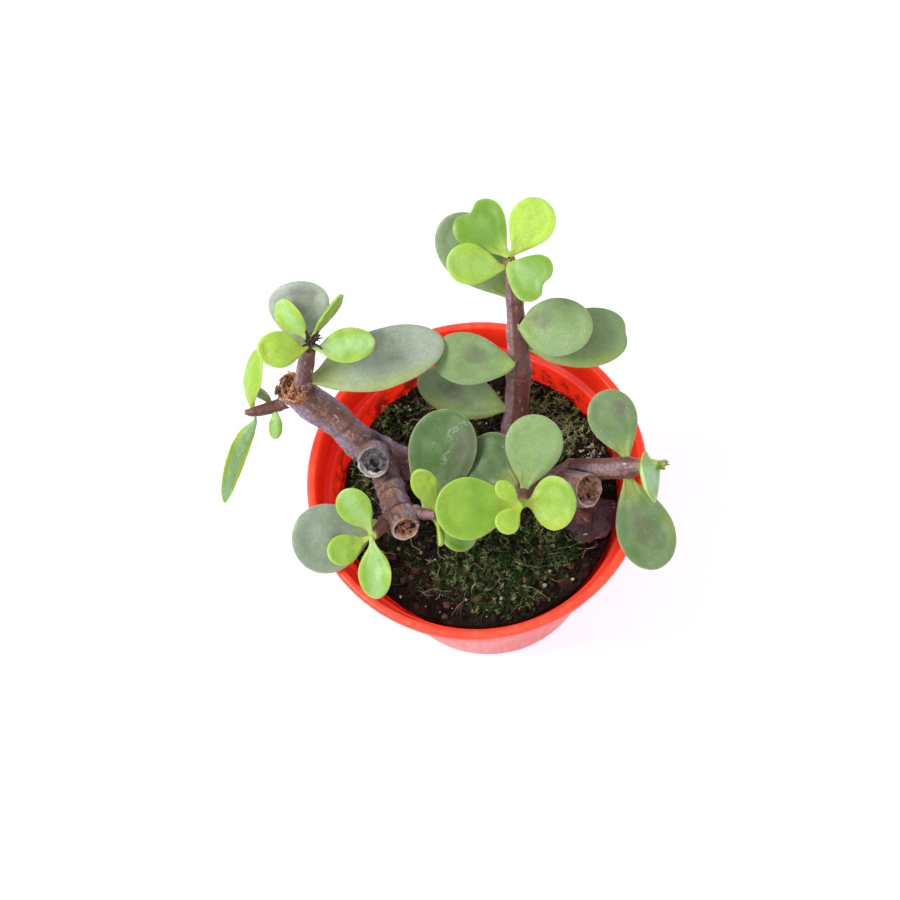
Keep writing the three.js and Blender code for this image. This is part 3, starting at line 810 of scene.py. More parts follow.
# %% [markdown]
# The torn end is open on top as well: there the wood is bare, with the bark curled back round it. The
# gap is an oval on the stem's upper side, and what was worked out for each point is then written on
# the mesh, so that the finish can read it.

# %% Open the torn end on top, and write down what each point is
TORN_MIDDLE = Vector((-39.6, 21.6, 86.4)) * MM
TORN_FACE = Vector((-0.38, -0.14, 0.91)).normalized()
TORN_SIDE = TORN_FACE.cross(Vector((0.2, 1, 0.3))).normalized() * -1
TORN_OVER = TORN_FACE.cross(TORN_SIDE) * -1
# The oval's half-width and half-length in millimetres, and how far above and below it bark is bared.
TORN_WIDTH, TORN_LENGTH, TORN_DEPTH = 2.6, 3.9, 4 * MM
offset, face = points - np.array(TORN_MIDDLE), np.array(TORN_FACE)
bare = np.hypot(offset @ np.array(TORN_SIDE) / TORN_WIDTH, offset @ np.array(TORN_OVER) / TORN_LENGTH) / MM
bare = np.clip((1.1 - bare) / 0.2, 0, 1) * (facing @ face > 0.2) * (np.abs(offset @ face) < TORN_DEPTH)
moved -= face * (bare * (0.6 + 0.5 * fractal(points, 1.0, 2, 8.0)) * MM)[:, None]
cut, ring = np.maximum(cut, bare), np.where(bare > 0.3, 0.2, ring)
pits = np.maximum(pits, bare * np.clip(1.5 * fractal(points, 1.1, 2, 2.0), 0, 1))
move_points(old_wood, moved)
carry(old_wood, "bark_place", bark_place)
carry(old_wood, "fold", np.clip(fold_mask, 0, 1))
carry(old_wood, "wear_and_lip_highlight", np.clip(wear_and_lip_highlight, 0, 1))
# The corner above the stub that faces the viewer is darkened too.
corner = np.exp(-((np.linalg.norm(points - np.array((-23.6, 11.8, 67.6)) * MM, axis=1) / (2.6 * MM)) ** 2))
crown_and_corner_dark = np.maximum(crown * np.clip(0.6 + 0.6 * fractal(points, 4.0, 2, 1.0), 0, 1),
                   np.clip(1.5 * corner + 0.8 * corner * fractal(points, 0.9, 2, 3.0), 0, 1))
carry(old_wood, "crown", crown_and_corner_dark)
# A painted sheen: the sides of the old wood that face these two ways are made lilac, as if they caught the
# light.
sunny = np.maximum(facing @ np.array((0.70, 0.62, 0.35)), 0.9 * facing @ np.array((-0.62, -0.70, 0.35)))
carry(old_wood, "lilac_tone_and_sheen", np.clip(2.8 * sunny - 1.75, 0, 1))
marks = {"cut": cut, "ring": ring, "weathered": weathered, "pits": pits, "lower": lower}
for name, values in marks.items():
    carry(old_wood, name, values)
print("bare wood on", int((cut > 0.5).sum()), "of", len(points), "points")

# %% [markdown]
# The bark's colour follows the same places. One group makes the bark of the old wood and of the
# shoots, with different colours: soft streaks, a mottle, small pale pores, a lilac tint where the mesh
# asks for it, which on the old wood and the shoots is a painted sheen on the sides that catch the
# light and on the loose plate a patchy tone, and darkness in the folds.

# %% A shared bark group
BARK, given, taken = new_group(
    "bark",
    [("Light", "Color", (0.3, 0.2, 0.2, 1)), ("Dark", "Color", (0.1, 0.06, 0.06, 1)),
     ("Patch", "Color", (0.2, 0.1, 0.06, 1)), ("Patch Share", "Float", 0.5),
     ("Lilac", "Color", (0.3, 0.24, 0.3, 1)), ("Fold", "Float", 0.0)],
    [("Color", "Color"), ("Roughness", "Float"), ("Height", "Float")],
)
grain_place = read(BARK, "bark_place", "Vector")
stretched = put(BARK, "VectorMath", {0: grain_place, 1: (0.30, 1, 1)}, operation="MULTIPLY").outputs[0]
streak = mottle(BARK, stretched, 1.3, 0.40, 0.60)
broad = mottle(BARK, grain_place, 5, 0.40, 0.60)
fine = mottle(BARK, grain_place, 0.7, 0.38, 0.62)
shade = blend(BARK, times(BARK, streak, 0.75), given["Light"], given["Dark"])
shade = blend(BARK, times(BARK, broad, given["Patch Share"]), shade, given["Patch"])
# Lilac where the mesh asks for it: a painted sheen on the old wood and the shoots, a patchy tone on the loose
# plate.
lilac = times(BARK, read(BARK, "lilac_tone_and_sheen"), mottle(BARK, grain_place, 2.5, 0.2, 0.5))
shade = blend(BARK, times(BARK, lilac, 0.85), shade, given["Lilac"])
shade = blend(BARK, times(BARK, fine, 0.5), shade, given["Dark"])
flecks = times(BARK, specks(BARK, stretched, 0.9, 0.35, 0.34), mottle(BARK, grain_place, 3, 0.45, 0.6))
shade = blend(BARK, times(BARK, flecks, 0.85), shade, (0.62, 0.47, 0.38, 1))
shade = blend(BARK, times(BARK, given["Fold"], 0.85), shade, (0.02, 0.012, 0.010, 1))
BARK.links.new(shade, taken["Color"])
BARK.links.new(plus(BARK, 0.50, times(BARK, fine, 0.25)), taken["Roughness"])
relief = plus(BARK, times(BARK, streak, -0.4), times(BARK, fine, -0.45), times(BARK, flecks, 0.4))
BARK.links.new(relief, taken["Height"])
print("bark group:", len(BARK.nodes), "nodes")

# %% [markdown]
# The dry wood on a sawn end is brown or weathered grey, in faint yearly rings, black in its pits and
# splits, with a pale rim where the bark was cut through. Bark seen at a slant looks whitish, because
# its wax scatters light: that is a little sheen on the shader itself.

# %% The old wood's finish
bark, tree, shader = finish("old_bark")
skin = put(tree, "Group", {
    "Light": (0.38, 0.212, 0.172, 1), "Dark": (0.072, 0.033, 0.034, 1), "Patch": (0.225, 0.102, 0.066, 1),
    "Patch Share": 0.7, "Lilac": (0.40, 0.35, 0.48, 1), "Fold": read(tree, "fold")}, node_tree=BARK).outputs
where = place_of(tree)
patchy = mottle(tree, where, 1.6, 0.42, 0.6)
colour = blend(tree, times(tree, read(tree, "wear_and_lip_highlight"), patchy, 0.7), skin["Color"], (0.34, 0.160, 0.085, 1))
colour = blend(tree, read(tree, "crown"), colour, (0.040, 0.024, 0.028, 1))
ring = read(tree, "ring")
waved = plus(tree, times(tree, ring, 24), times(tree, mottle(tree, where, 2.2, 0.2, 0.8), 0.9))
years = fade(tree, maths(tree, "SINE", waved), -0.2, 0.9)
rough = mottle(tree, where, 1.1, 0.35, 0.65)
brown = blend(tree, rough, (0.58, 0.25, 0.105, 1), (0.20, 0.075, 0.032, 1))
grey = blend(tree, rough, (0.155, 0.145, 0.160, 1), (0.036, 0.033, 0.038, 1))
weathered = read(tree, "weathered")
dry = blend(tree, weathered, brown, grey)
dry = blend(tree, times(tree, years, 0.45), dry, (0.045, 0.026, 0.022, 1))
dry = blend(tree, fade(tree, read(tree, "pits"), 0.1, 0.5), dry, (0.008, 0.006, 0.005, 1))
# Crumbs of rotten wood lie in the ends: ochre ones in the grey end, paler ones in the brown ends.
bits = times(tree, specks(tree, where, 0.7, 0.22, 0.30), weathered, fade(tree, ring, 0.8, 0.6))
dry = blend(tree, bits, dry, (0.34, 0.24, 0.14, 1))
bits = times(tree, specks(tree, where, 0.8, 0.2, 0.32), maths(tree, "SUBTRACT", 1.0, weathered))
dry = blend(tree, bits, dry, (0.50, 0.35, 0.23, 1))
# The cut bark is palest and widest on the lower side of each end.
lower = read(tree, "lower")
reach = plus(tree, ring, times(tree, lower, 0.10), times(tree, plus(tree, patchy, -0.5), 0.10))
strength = plus(tree, 0.45, times(tree, patchy, 0.25), times(tree, lower, 0.30))
lip = times(tree, fade(tree, reach, 0.82, 0.92), strength)
plain_lip = blend(tree, weathered, (0.42, 0.31, 0.25, 1), (0.34, 0.30, 0.32, 1))
pale_lip = blend(tree, weathered, (0.74, 0.50, 0.42, 1), (0.62, 0.57, 0.58, 1))
dry = blend(tree, lip, dry, blend(tree, lower, plain_lip, pale_lip))
cut = read(tree, "cut")
colour = blend(tree, fade(tree, cut, 0.2, 0.6), colour, dry)
wire(tree, shader.inputs["Base Color"], colour)
wire(tree, shader.inputs["Roughness"], plus(tree, skin["Roughness"], times(tree, cut, 0.25)))
shader.inputs["Specular IOR Level"].default_value = 0.35
shader.inputs["Sheen Weight"].default_value = 0.30
shader.inputs["Sheen Roughness"].default_value = 0.35
shader.inputs["Sheen Tint"].default_value = (0.84, 0.76, 1.0, 1)
wire(tree, shader.inputs["Normal"], bump(tree, skin["Height"], 0.30))
old_wood.data.materials.append(bark)
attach(old_wood, "root")
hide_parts("trunk")
print("old wood dressed in", bark.name)

# %% [markdown]
# The torn far end of the stem is a hollow, ringed with orange-brown bands of dry bark that curl round
# it and bristle with shreds. Hair would make the shreds, but it has no broad bands, so both are small
# models: a flat bar that is extruded and turned a little at each step, so that it curls and narrows.
# A thin one makes the shreds, and a broad one, laid round the rim, the bands.

# %% Model one curled shred and one band
def chosen_middle(obj):
    """The middle of the points that are selected in edit mode."""
    chosen = [vertex.co.copy() for vertex in bmesh.from_edit_mesh(obj.data).verts if vertex.select]
    return sum(chosen, Vector()) / len(chosen)


def curled_strip(name, steps, step_length, width, thickness, curl):
    """A flat strip from the origin along +X, which narrows and curls upwards."""
    bpy.ops.object.select_all(action="DESELECT")
    bpy.ops.mesh.primitive_cube_add(size=1, location=(0, 0, 0), scale=(step_length, width, thickness))
    made = bpy.context.object
    made.name = name
    bpy.ops.object.transform_apply(location=True, rotation=True, scale=True)
    bpy.ops.object.mode_set(mode="EDIT")
    bpy.ops.mesh.select_mode(type="FACE")
    bpy.ops.mesh.select_all(action="DESELECT")
    mesh = bmesh.from_edit_mesh(made.data)
    for face in mesh.faces:
        face.select_set(face.normal.x > 0.9)
    bmesh.update_edit_mesh(made.data)
    heading = 0.0
    for _ in range(steps):
        heading += curl
        move = (step_length * math.cos(heading), 0, step_length * math.sin(heading))
        bpy.ops.mesh.extrude_region_move(TRANSFORM_OT_translate={"value": move})
        middle = chosen_middle(made)
        bpy.ops.transform.rotate(value=curl, orient_axis="Y", center_override=middle)
        bpy.ops.transform.resize(value=(0.84, 0.84, 0.84), center_override=middle)
    bpy.ops.object.mode_set(mode="OBJECT")
    bpy.ops.object.shade_smooth()
    return made


strip = curled_strip("strip", 6, step_length=0.42 * MM, width=0.62 * MM, thickness=0.12 * MM, curl=0.26)
band = curled_strip("band", 7, step_length=0.60 * MM, width=1.5 * MM, thickness=0.34 * MM, curl=0.16)
print("a shred and a band:", len(strip.data.polygons), "and", len(band.data.polygons), "faces")

# %% Helpers that place and scatter copies of a model
def scattered(name, model, placements, tints):
    """One mesh that holds a copy of the model for each placement, with a tint that differs by copy."""
    base = points_of(model)
    faces = [list(polygon.vertices) for polygon in model.data.polygons]
    rotations = np.array([np.array(m.to_3x3()) for m in placements])
    shifts = np.array([list(m.translation) for m in placements])
    spread = np.einsum("nij,vj->nvi", rotations, base) + shifts[:, None, :]
    count = len(base)
    mesh = bpy.data.meshes.new(name)
    all_faces = [[index + i * count for index in face] for i in range(len(placements)) for face in faces]
    mesh.from_pydata(spread.reshape(-1, 3), [], all_faces)
    mesh.update()
    made = bpy.data.objects.new(name, mesh)
    scene.collection.objects.link(made)
    carry(made, "tint", np.repeat(tints, count))
    lowest = base.min(axis=0)
    tallness = (base[:, 2] - lowest[2]) / (np.ptp(base[:, 2]) + 1e-9)
    carry(made, "tip", np.tile(tallness, len(placements)))
    alone(made)
    bpy.ops.object.shade_smooth()
    return made


def stood(place, ahead, spin, size):
    """A placement that points the model's +X along a direction, spun about it, at a size."""
    turn = Vector(ahead).to_track_quat("X", "Z").to_matrix().to_4x4()
    return Matrix.Translation(Vector(place)) @ turn @ Matrix.Rotation(spin, 4, "X") @ Matrix.Scale(size, 4)


# Just under a full turn, in radians: the most that a copy is spun.
ALL_ROUND = 6.28
print("placing helpers ready")

# %% Ring the torn end with shreds
draw = random.Random(4)
end = wood_lines["stem"]
end_middle, end_face, end_side, end_over = (
    Vector(values[-1]) for values in (end.points, end.ahead, end.side, end.over))
# Two openings: the end of the stem itself, and the gap in the bark on top of it. For each: its middle, the
# way it faces, its half-width both ways in millimetres, and how many shreds and bands ring it.
OPENINGS = [
    (end_middle, end_face, end_side * 3.9, end_over * 3.9, 44, 11),
    (TORN_MIDDLE, TORN_FACE, TORN_SIDE * 2.7, TORN_OVER * 4.0, 46, 13),
]
shreds, bands = [], []
for middle, ahead, side, over, thin, broad in OPENINGS:
    for i in range(thin):
        turn = 2 * math.pi * i / thin + draw.uniform(-0.1, 0.1)
        outward = side * math.cos(turn) + over * math.sin(turn)
        round_it = (over * math.cos(turn) - side * math.sin(turn)).normalized()
        inset = draw.choice((0.4, 0.75, 0.95, 1.0)) * MM
        spot = middle + outward * inset - ahead * draw.uniform(-0.5, 1.0) * MM
        lean = ahead * draw.uniform(0.3, 1.0) - outward * draw.uniform(-0.05, 0.2)
        lean += round_it * draw.uniform(-1.1, 1.1)
        shreds.append(stood(spot, lean.normalized(), draw.uniform(0, ALL_ROUND), draw.uniform(0.4, 0.95)))
    for i in range(broad):
        turn = 2 * math.pi * i / broad + draw.uniform(-0.15, 0.15)
        outward = side * math.cos(turn) + over * math.sin(turn)
        spot = middle + outward * draw.uniform(0.85, 1.05) * MM + ahead * draw.uniform(-0.5, 0.8) * MM
        outward.normalize()
        round_it = ahead.cross(outward).normalized()
        turned = Matrix((round_it, -ahead, -outward)).transposed().to_4x4()
        tilt = Matrix.Rotation(draw.uniform(-0.4, 0.4), 4, "X")
        tilt = tilt @ Matrix.Rotation(draw.uniform(-0.3, 0.3), 4, "Z")
        bands.append(Matrix.Translation(spot) @ turned @ tilt @ Matrix.Scale(draw.uniform(0.6, 1.05), 4))
# A few more stand in the corner beside the stub that faces the viewer.
STUB_CORNER = Vector((-27.8, 10.2, 66.6)) * MM
for _ in range(16):
    spot = STUB_CORNER + Vector([draw.uniform(-1.4, 1.4) * MM for _ in range(3)])
    lean = Vector((draw.uniform(-1, 0.6), draw.uniform(-1, 0.6), draw.uniform(0, 1))).normalized()
    shreds.append(stood(spot, lean, draw.uniform(0, ALL_ROUND), draw.uniform(0.3, 0.6)))
torn_end = scattered("torn_end", strip, shreds, [draw.random() ** 1.4 for _ in shreds])
torn_rim = scattered("torn_rim", band, bands, [0.4 * draw.random() for _ in bands])
print("torn end:", len(shreds), "shreds,", len(bands), "bands")

# %% The torn bark's finish
shred, tree, shader = finish("torn_bark")
colour = blend(tree, read(tree, "tint"), (0.74, 0.36, 0.19, 1), (0.075, 0.030, 0.017, 1))
colour = blend(tree, times(tree, mottle(tree, place_of(tree), 0.5), 0.8), colour, (0.30, 0.12, 0.06, 1))
wire(tree, shader.inputs["Base Color"], colour)
shader.inputs["Roughness"].default_value = 0.8
wire(tree, shader.inputs["Normal"], bump(tree, mottle(tree, place_of(tree), 0.3), 0.05))
for piece in (torn_end, torn_rim):
    piece.data.materials.append(shred)
    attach(piece, "root")
print("torn bark dressed in", shred.name)

# %% [markdown]
# Where the stem goes into the soil, old bark has come loose and stands off as a dark plate with a
# wavy reddish edge and a shadow under it. A bent cube would show its straight sides, so it is a fine
# grid, trimmed round and bent over the stem's foot like a shield: the outline is waved, the edge falls
# away, and Solidify gives the sheet its thickness.

# %% The loose plate of bark at the stem's foot
def round_grid(name, divisions, width, radius):
    """A fine square grid of this width, trimmed to a circle."""
    bpy.ops.object.select_all(action="DESELECT")
    bpy.ops.mesh.primitive_grid_add(x_subdivisions=divisions, y_subdivisions=divisions, size=width)
    made = bpy.context.object
    made.name = name
    bpy.ops.object.mode_set(mode="EDIT")
    mesh = bmesh.from_edit_mesh(made.data)
    for vertex in mesh.verts:
        vertex.select_set(math.hypot(vertex.co.x, vertex.co.y) > radius)
    bmesh.update_edit_mesh(made.data)
    bpy.ops.mesh.delete(type="VERT")
    bpy.ops.object.mode_set(mode="OBJECT")
    return made


# In millimetres: the plate's middle, its reach both ways, how far its edge falls, and its thickness.
PLATE_MIDDLE, PLATE_REACH, PLATE_FALL, PLATE_THICKNESS = (26.4, -12.2, 54.2), (7.3, 6.6), 3.0, 0.8
plate = round_grid("bark_plate", 48, 2, 1)
flat = points_of(plate)
share = np.hypot(flat[:, 0], flat[:, 1])
share /= share.max()
turn = np.arctan2(flat[:, 1], flat[:, 0])
wave = 1 + share * (0.08 * np.sin(3 * turn + 1) + 0.06 * np.sin(5 * turn) + 0.03 * np.sin(11 * turn + 2))
wide, deep = flat[:, 0] * wave * PLATE_REACH[0], flat[:, 1] * wave * PLATE_REACH[1]
bent = np.stack([wide, deep, -PLATE_FALL * share**2.2], axis=1)
bent[:, 2] += 0.55 * share**4 * np.sin(6 * turn + 1) + 0.30 * fractal(flat * MM, 0.5, 2, 3.0)
move_points(plate, (bent + PLATE_MIDDLE) * MM)
carry(plate, "bark_place", bent * MM)
carry(plate, "lilac_tone_and_sheen", np.clip(0.3 + fractal(flat * MM, 0.7, 2, 6.0), 0, 1))
carry(plate, "edge", share**18)
alone(plate)
thick = plate.modifiers.new("thickness", "SOLIDIFY")
thick.thickness = PLATE_THICKNESS * MM
thick.offset = -1
round_off = plate.modifiers.new("soft edge", "BEVEL")
round_off.width = 0.2 * MM
round_off.angle_limit = math.radians(50)
apply_all(plate)
bpy.ops.object.shade_smooth()
print("loose plate:", len(plate.data.polygons), "faces")

# %% The loose plate's finish
loose, tree, shader = finish("loose_bark")
skin = put(tree, "Group", {
    "Light": (0.090, 0.066, 0.082, 1), "Dark": (0.022, 0.016, 0.020, 1), "Patch": (0.055, 0.034, 0.034, 1),
    "Patch Share": 0.6, "Lilac": (0.16, 0.125, 0.17, 1)}, node_tree=BARK).outputs
colour = blend(tree, times(tree, read(tree, "edge"), 0.85), skin["Color"], (0.19, 0.070, 0.050, 1))
wire(tree, shader.inputs["Base Color"], colour)
wire(tree, shader.inputs["Roughness"], skin["Roughness"])
wire(tree, shader.inputs["Normal"], bump(tree, skin["Height"], 0.2))
plate.data.materials.append(loose)
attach(plate, "root")
print("plate dressed in", loose.name)

# %% [markdown]
# ## The young shoots
#
# A shoot is a chain of joints. Each joint begins at a pair of leaves, with a thin dark ring and a
# slight swelling, and runs on to the next pair. Its skin is purple-brown at the foot, with pale
# lengthwise streaks, redder higher up, and still green at the tip. The shapes come from the solids
# again, wrapped and smoothed, and then the rings are pressed in.

# %% Wrap the shoots and press in their rings
# How far along each shoot its skin turns green, as a share of its length.
GREEN_FROM = {
    "top": 0.95, "side": 0.99, "under": 0.80, "beside": 0.92, "middle": 0.84, "back": 0.955, "right": 0.84,
}
# How many millimetres of its tip are drawn in between the top leaves.
DRAWN_IN = {"top": 4.0, "side": 0, "under": 2.4, "beside": 2.4, "middle": 4.0, "back": 2.9, "right": 0}


def shoot_piece(name):
    """A young shoot from its solid, ringed at each joint and drawn in at its tip."""
    line = shoot_lines[name]
    made = wrap(welded_copy("shoot_" + name, "young_shoot_" + name), 0.22, 6)
    points = points_of(made)
    row = measure(points, [line])
    along, out = row[:, 1], row[:, 2]
    bark_place = np.stack([along, out * row[:, 3], out * row[:, 4]], axis=1) + len(name) * 30 * MM
    rise = 0.05 * fractal(bark_place * (0.2, 1, 1), 1.2, 3) + 0.10 * fractal(points, 2.5, 2)
    ring_mask = np.zeros(len(points))
    for joint in line.joints[1:-1]:
        gap = (along - joint) / MM - 0.25 * row[:, 3]
        rise += 0.05 * np.exp(-(((gap - 0.9) / 1.1) ** 2)) - 0.10 * np.exp(-((gap / 0.22) ** 2))
        ring_mask = np.maximum(ring_mask, 0.4 * np.exp(-((gap / 0.24) ** 2)))
    moved = points + normals_of(made) * (rise * MM)[:, None]
    # The last stretch is drawn in, so that the top leaves close over it.
    stop = line.joints[-1] - DRAWN_IN[name] * MM
    past = np.clip(along - stop, 0, None)[:, None]
    middle = line.points[[np.abs(line.along - a).argmin() for a in along]]
    moved = middle + (moved - middle) * (1 - 0.45 * np.clip(past / (1.2 * MM), 0, 1))
    moved -= past * 0.9 * line.ahead[-1]
    move_points(made, moved)
    carry(made, "bark_place", bark_place)
    carry(made, "fold", ring_mask)
    # A painted sheen: the side of each shoot that faces this way is made pale lilac, as if it caught the
    # light.
    carry(made, "lilac_tone_and_sheen", np.clip(normals_of(made) @ np.array((-0.90, -0.1, 0.42)) * 2.4 - 1.35, 0, 1))
    start = GREEN_FROM[name] * line.length
    carry(made, "green", np.clip((along - start) / (0.22 * line.length) + 0.5, 0, 1))
    return made


shoots = {name: shoot_piece(name) for name in SHOOTS}
print("shoots:", {name: len(shoot.data.polygons) for name, shoot in shoots.items()}, "faces")

# %% The young bark
young_bark, tree, shader = finish("young_bark")
skin = put(tree, "Group", {
    "Light": (0.180, 0.064, 0.050, 1), "Dark": (0.080, 0.026, 0.022, 1), "Patch": (0.170, 0.070, 0.052, 1),
    "Patch Share": 0.5, "Lilac": (0.36, 0.25, 0.28, 1), "Fold": times(tree, read(tree, "fold"), 0.7),
}, node_tree=BARK).outputs
wander = plus(tree, mottle(tree, place_of(tree), 1.5, 0.2, 0.8), -0.5)
soft_edge = plus(tree, read(tree, "green"), times(tree, wander, 0.5))
olive = blend(tree, fade(tree, read(tree, "green"), 0.5, 1.0), (0.26, 0.17, 0.05, 1), (0.34, 0.40, 0.06, 1))
olive = blend(tree, times(tree, read(tree, "fold"), 0.6), olive, (0.16, 0.06, 0.03, 1))
wire(tree, shader.inputs["Base Color"], blend(tree, fade(tree, soft_edge, 0.25, 0.75), skin["Color"], olive))
wire(tree, shader.inputs["Roughness"], plus(tree, skin["Roughness"], -0.12))
shader.inputs["Subsurface Weight"].default_value = 0.15
shader.inputs["Subsurface Radius"].default_value = (1.0, 0.4, 0.15)
shader.inputs["Subsurface Scale"].default_value = 1.0 * MM
shader.inputs["Sheen Weight"].default_value = 0.18
shader.inputs["Sheen Roughness"].default_value = 0.35
shader.inputs["Sheen Tint"].default_value = (1.0, 0.86, 0.95, 1)
wire(tree, shader.inputs["Normal"], bump(tree, skin["Height"], 0.06))
for name, shoot in shoots.items():
    shoot.data.materials.append(young_bark)
    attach(shoot, "root")
    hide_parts("shoot_" + name)
print(len(shoots), "shoots dressed in", young_bark.name)

# %% [markdown]
# Three shoots end in something that is easy to miss. The top shoot's own tip has died: a few black
# shreds stand between its last leaves. The right and the side shoot end in a bud, a tight bunch of
# leaves a millimetre long. The band made for the torn end serves again, and a bud's leaf is a ball
# that is drawn to a point.

# %% The dry tip
def tip_of(name):
    """Where a shoot ends, the way it points there, and two directions across it."""
    line = shoot_lines[name]
    return Vector(line.points[-1]), Vector(line.ahead[-1]), Vector(line.side[-1]), Vector(line.over[-1])


def bunch(name, count, spread, sunk, low, high, draw):
    """Placements that spring from a shoot's tip, sunk into it by millimetres, and lean outwards all round."""
    tip, ahead, side, over = tip_of(name)
    made = []
    for i in range(count):
        turn = 2 * math.pi * i / count + draw.uniform(-0.3, 0.3)
        outward = side * math.cos(turn) + over * math.sin(turn)
        lean = (ahead + outward * draw.uniform(0.2, spread)).normalized()
        foot = tip + outward * 0.4 * MM - ahead * sunk * MM
        made.append(stood(foot, lean, draw.uniform(0, ALL_ROUND), draw.uniform(low, high)))
    return made


draw = random.Random(9)
placements = bunch("top", 12, 0.9, 2.5, 0.6, 1.0, draw)
dry_tip = scattered("dry_tip", band, placements, [draw.random() for _ in placements])
for model in (strip, band):
    bpy.data.objects.remove(model)
withered, tree, shader = finish("withered_tip")
colour = blend(tree, mottle(tree, place_of(tree), 0.4), (0.018, 0.012, 0.010, 1), (0.085, 0.045, 0.032, 1))
wire(tree, shader.inputs["Base Color"], colour)
shader.inputs["Roughness"].default_value = 0.85
wire(tree, shader.inputs["Normal"], bump(tree, mottle(tree, place_of(tree), 0.25), 0.05))
dry_tip.data.materials.append(withered)
print("dry tip:", len(placements), "shreds")

# %% The buds
BUD_LEAVES = {"right": 6, "side": 4}
bpy.ops.object.select_all(action="DESELECT")
bpy.ops.mesh.primitive_uv_sphere_add(segments=10, ring_count=8, radius=0.5 * MM, rotation=(0, math.pi / 2, 0))
bud_leaf = bpy.context.object
bpy.ops.object.transform_apply(location=False, rotation=True, scale=True)
points = points_of(bud_leaf)
share = (points[:, 0] / MM + 0.5).clip(0, 1)
points[:, 0] = (points[:, 0] + 0.5 * MM) * 2.1
points[:, 1:] *= np.stack([1.15 - 0.75 * share**3, 0.55 - 0.2 * share], axis=1)
move_points(bud_leaf, points)
placements = bunch("right", BUD_LEAVES["right"], 0.45, 1.8, 1.0, 1.5, draw)
placements += bunch("side", BUD_LEAVES["side"], 0.4, 1.0, 0.45, 0.6, draw)
# The side shoot's bud is brown all over.
tints = [0.6 * draw.random() for _ in range(BUD_LEAVES["right"])] + [1.0] * BUD_LEAVES["side"]
buds = scattered("buds", bud_leaf, placements, tints)
bpy.data.objects.remove(bud_leaf)
bud, tree, shader = finish("bud_green")
colour = blend(tree, read(tree, "tint"), (0.50, 0.62, 0.16, 1), (0.15, 0.075, 0.045, 1))
colour = blend(tree, mottle(tree, place_of(tree), 0.5, 0.45, 0.65), colour, (0.26, 0.22, 0.08, 1))
wire(tree, shader.inputs["Base Color"], colour)
shader.inputs["Roughness"].default_value = 0.5
wire(tree, shader.inputs["Normal"], bump(tree, mottle(tree, place_of(tree), 0.3), 0.03))
buds.data.materials.append(bud)
for piece in (dry_tip, buds):
    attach(piece, "root")
print("dry tip and buds:", len(dry_tip.data.polygons), "and", len(buds.data.polygons), "faces")

# %% [markdown]
# ## The leaves
#
# An elephant bush leaf is a thick little spoon: it narrows to almost nothing at the stem, is widest
# past its middle, and its flat faces meet in a thin line round the edge. The solids hold each leaf's
# outline, bend and place in a coarse cage of nine sections, which is just what a subdivision surface
# wants. So each cage is copied, turned back into quads, given a short stalk that reaches the shoot, a
# crease along its edge, and then subdivided.
#
# The finish needs to know where it is on the leaf, so each point is told how far along and across it
# lies, how far it is from the edge, and which face it is on.

# %% Turn a leaf's cage into a smooth leaf
def shoot_of(node):
    """The middle line of the shoot that carries this leaf."""
    return shoot_lines[node.split("_leaf")[0]]


def poles(obj):
    """The two points where the cage closes: the only ones with eight edges."""
    edges = np.empty(2 * len(obj.data.edges), dtype=int)
    obj.data.edges.foreach_get("vertices", edges)
    count = np.bincount(edges, minlength=len(obj.data.vertices))
    return list(np.argsort(-count)[:2])


def leaf_axes(points, base, tip):
    """Along, across and up for a leaf, from its base, its tip and its flattest direction."""
    spread = points - points.mean(axis=0)
    thin = np.linalg.svd(spread, full_matrices=False)[2][2]
    along = tip - base
    along -= thin * along.dot(thin)
    along /= np.linalg.norm(along)
    if thin[2] < 0:
        thin = -thin
    return along, np.cross(thin, along), thin


# A cage shrinks a little as it is smoothed, so it is first made larger by this much.
CAGE_GROWTH = 1.045


def smooth_leaf(node, levels):
    """A leaf's cage with a stalk and a creased edge, smoothed, and the places of its base and its tip."""
    made = welded_copy(node, "fleshy_" + node)
    points = points_of(made)
    line = shoot_of(node)
    ends = sorted(poles(made), key=lambda i: np.linalg.norm(line.points - points[i], axis=1).min())
    base, tip = points[ends[0]].copy(), points[ends[1]].copy()
    bpy.ops.object.mode_set(mode="EDIT")
    bpy.ops.mesh.select_mode(type="VERT")
    bpy.ops.mesh.select_all(action="SELECT")
    bpy.ops.transform.resize(value=(CAGE_GROWTH,) * 3, center_override=base)
    # The stalk: the faces at the base are pulled to the shoot and narrowed.
    bpy.ops.mesh.select_all(action="DESELECT")
    bpy.ops.mesh.select_mode(type="FACE")
    mesh = bmesh.from_edit_mesh(made.data)
    for face in mesh.faces:
        face.select_set(any(v.index == ends[0] for v in face.verts))
    bmesh.update_edit_mesh(made.data)
    to_shoot = line.points[np.linalg.norm(line.points - base, axis=1).argmin()] - base
    distance = np.linalg.norm(to_shoot)
    to_shoot = to_shoot / distance
    reach = to_shoot * (distance + 0.1 * MM)
    bpy.ops.mesh.extrude_region_move(TRANSFORM_OT_translate={"value": tuple(reach)})
    bpy.ops.transform.resize(value=(0.8, 0.8, 0.8), center_override=tuple(base + reach))
    bpy.ops.mesh.select_all(action="SELECT")
    bpy.ops.mesh.tris_convert_to_quads(face_threshold=math.radians(50), shape_threshold=math.radians(50))
    bpy.ops.mesh.select_all(action="DESELECT")
    bpy.ops.mesh.select_mode(type="EDGE")
    bpy.ops.mesh.edges_select_sharp(sharpness=math.radians(62))
    bpy.ops.transform.edge_crease(value=0.45)
    bpy.ops.object.mode_set(mode="OBJECT")
    rounder = made.modifiers.new("rounder", "SUBSURF")
    rounder.levels = rounder.render_levels = levels
    apply_all(made)
    bpy.ops.object.shade_smooth()
    return made, base, tip


print("leaf cage helpers ready")

# %% Tell each point where it is on its leaf
EDGE_STEPS = 96


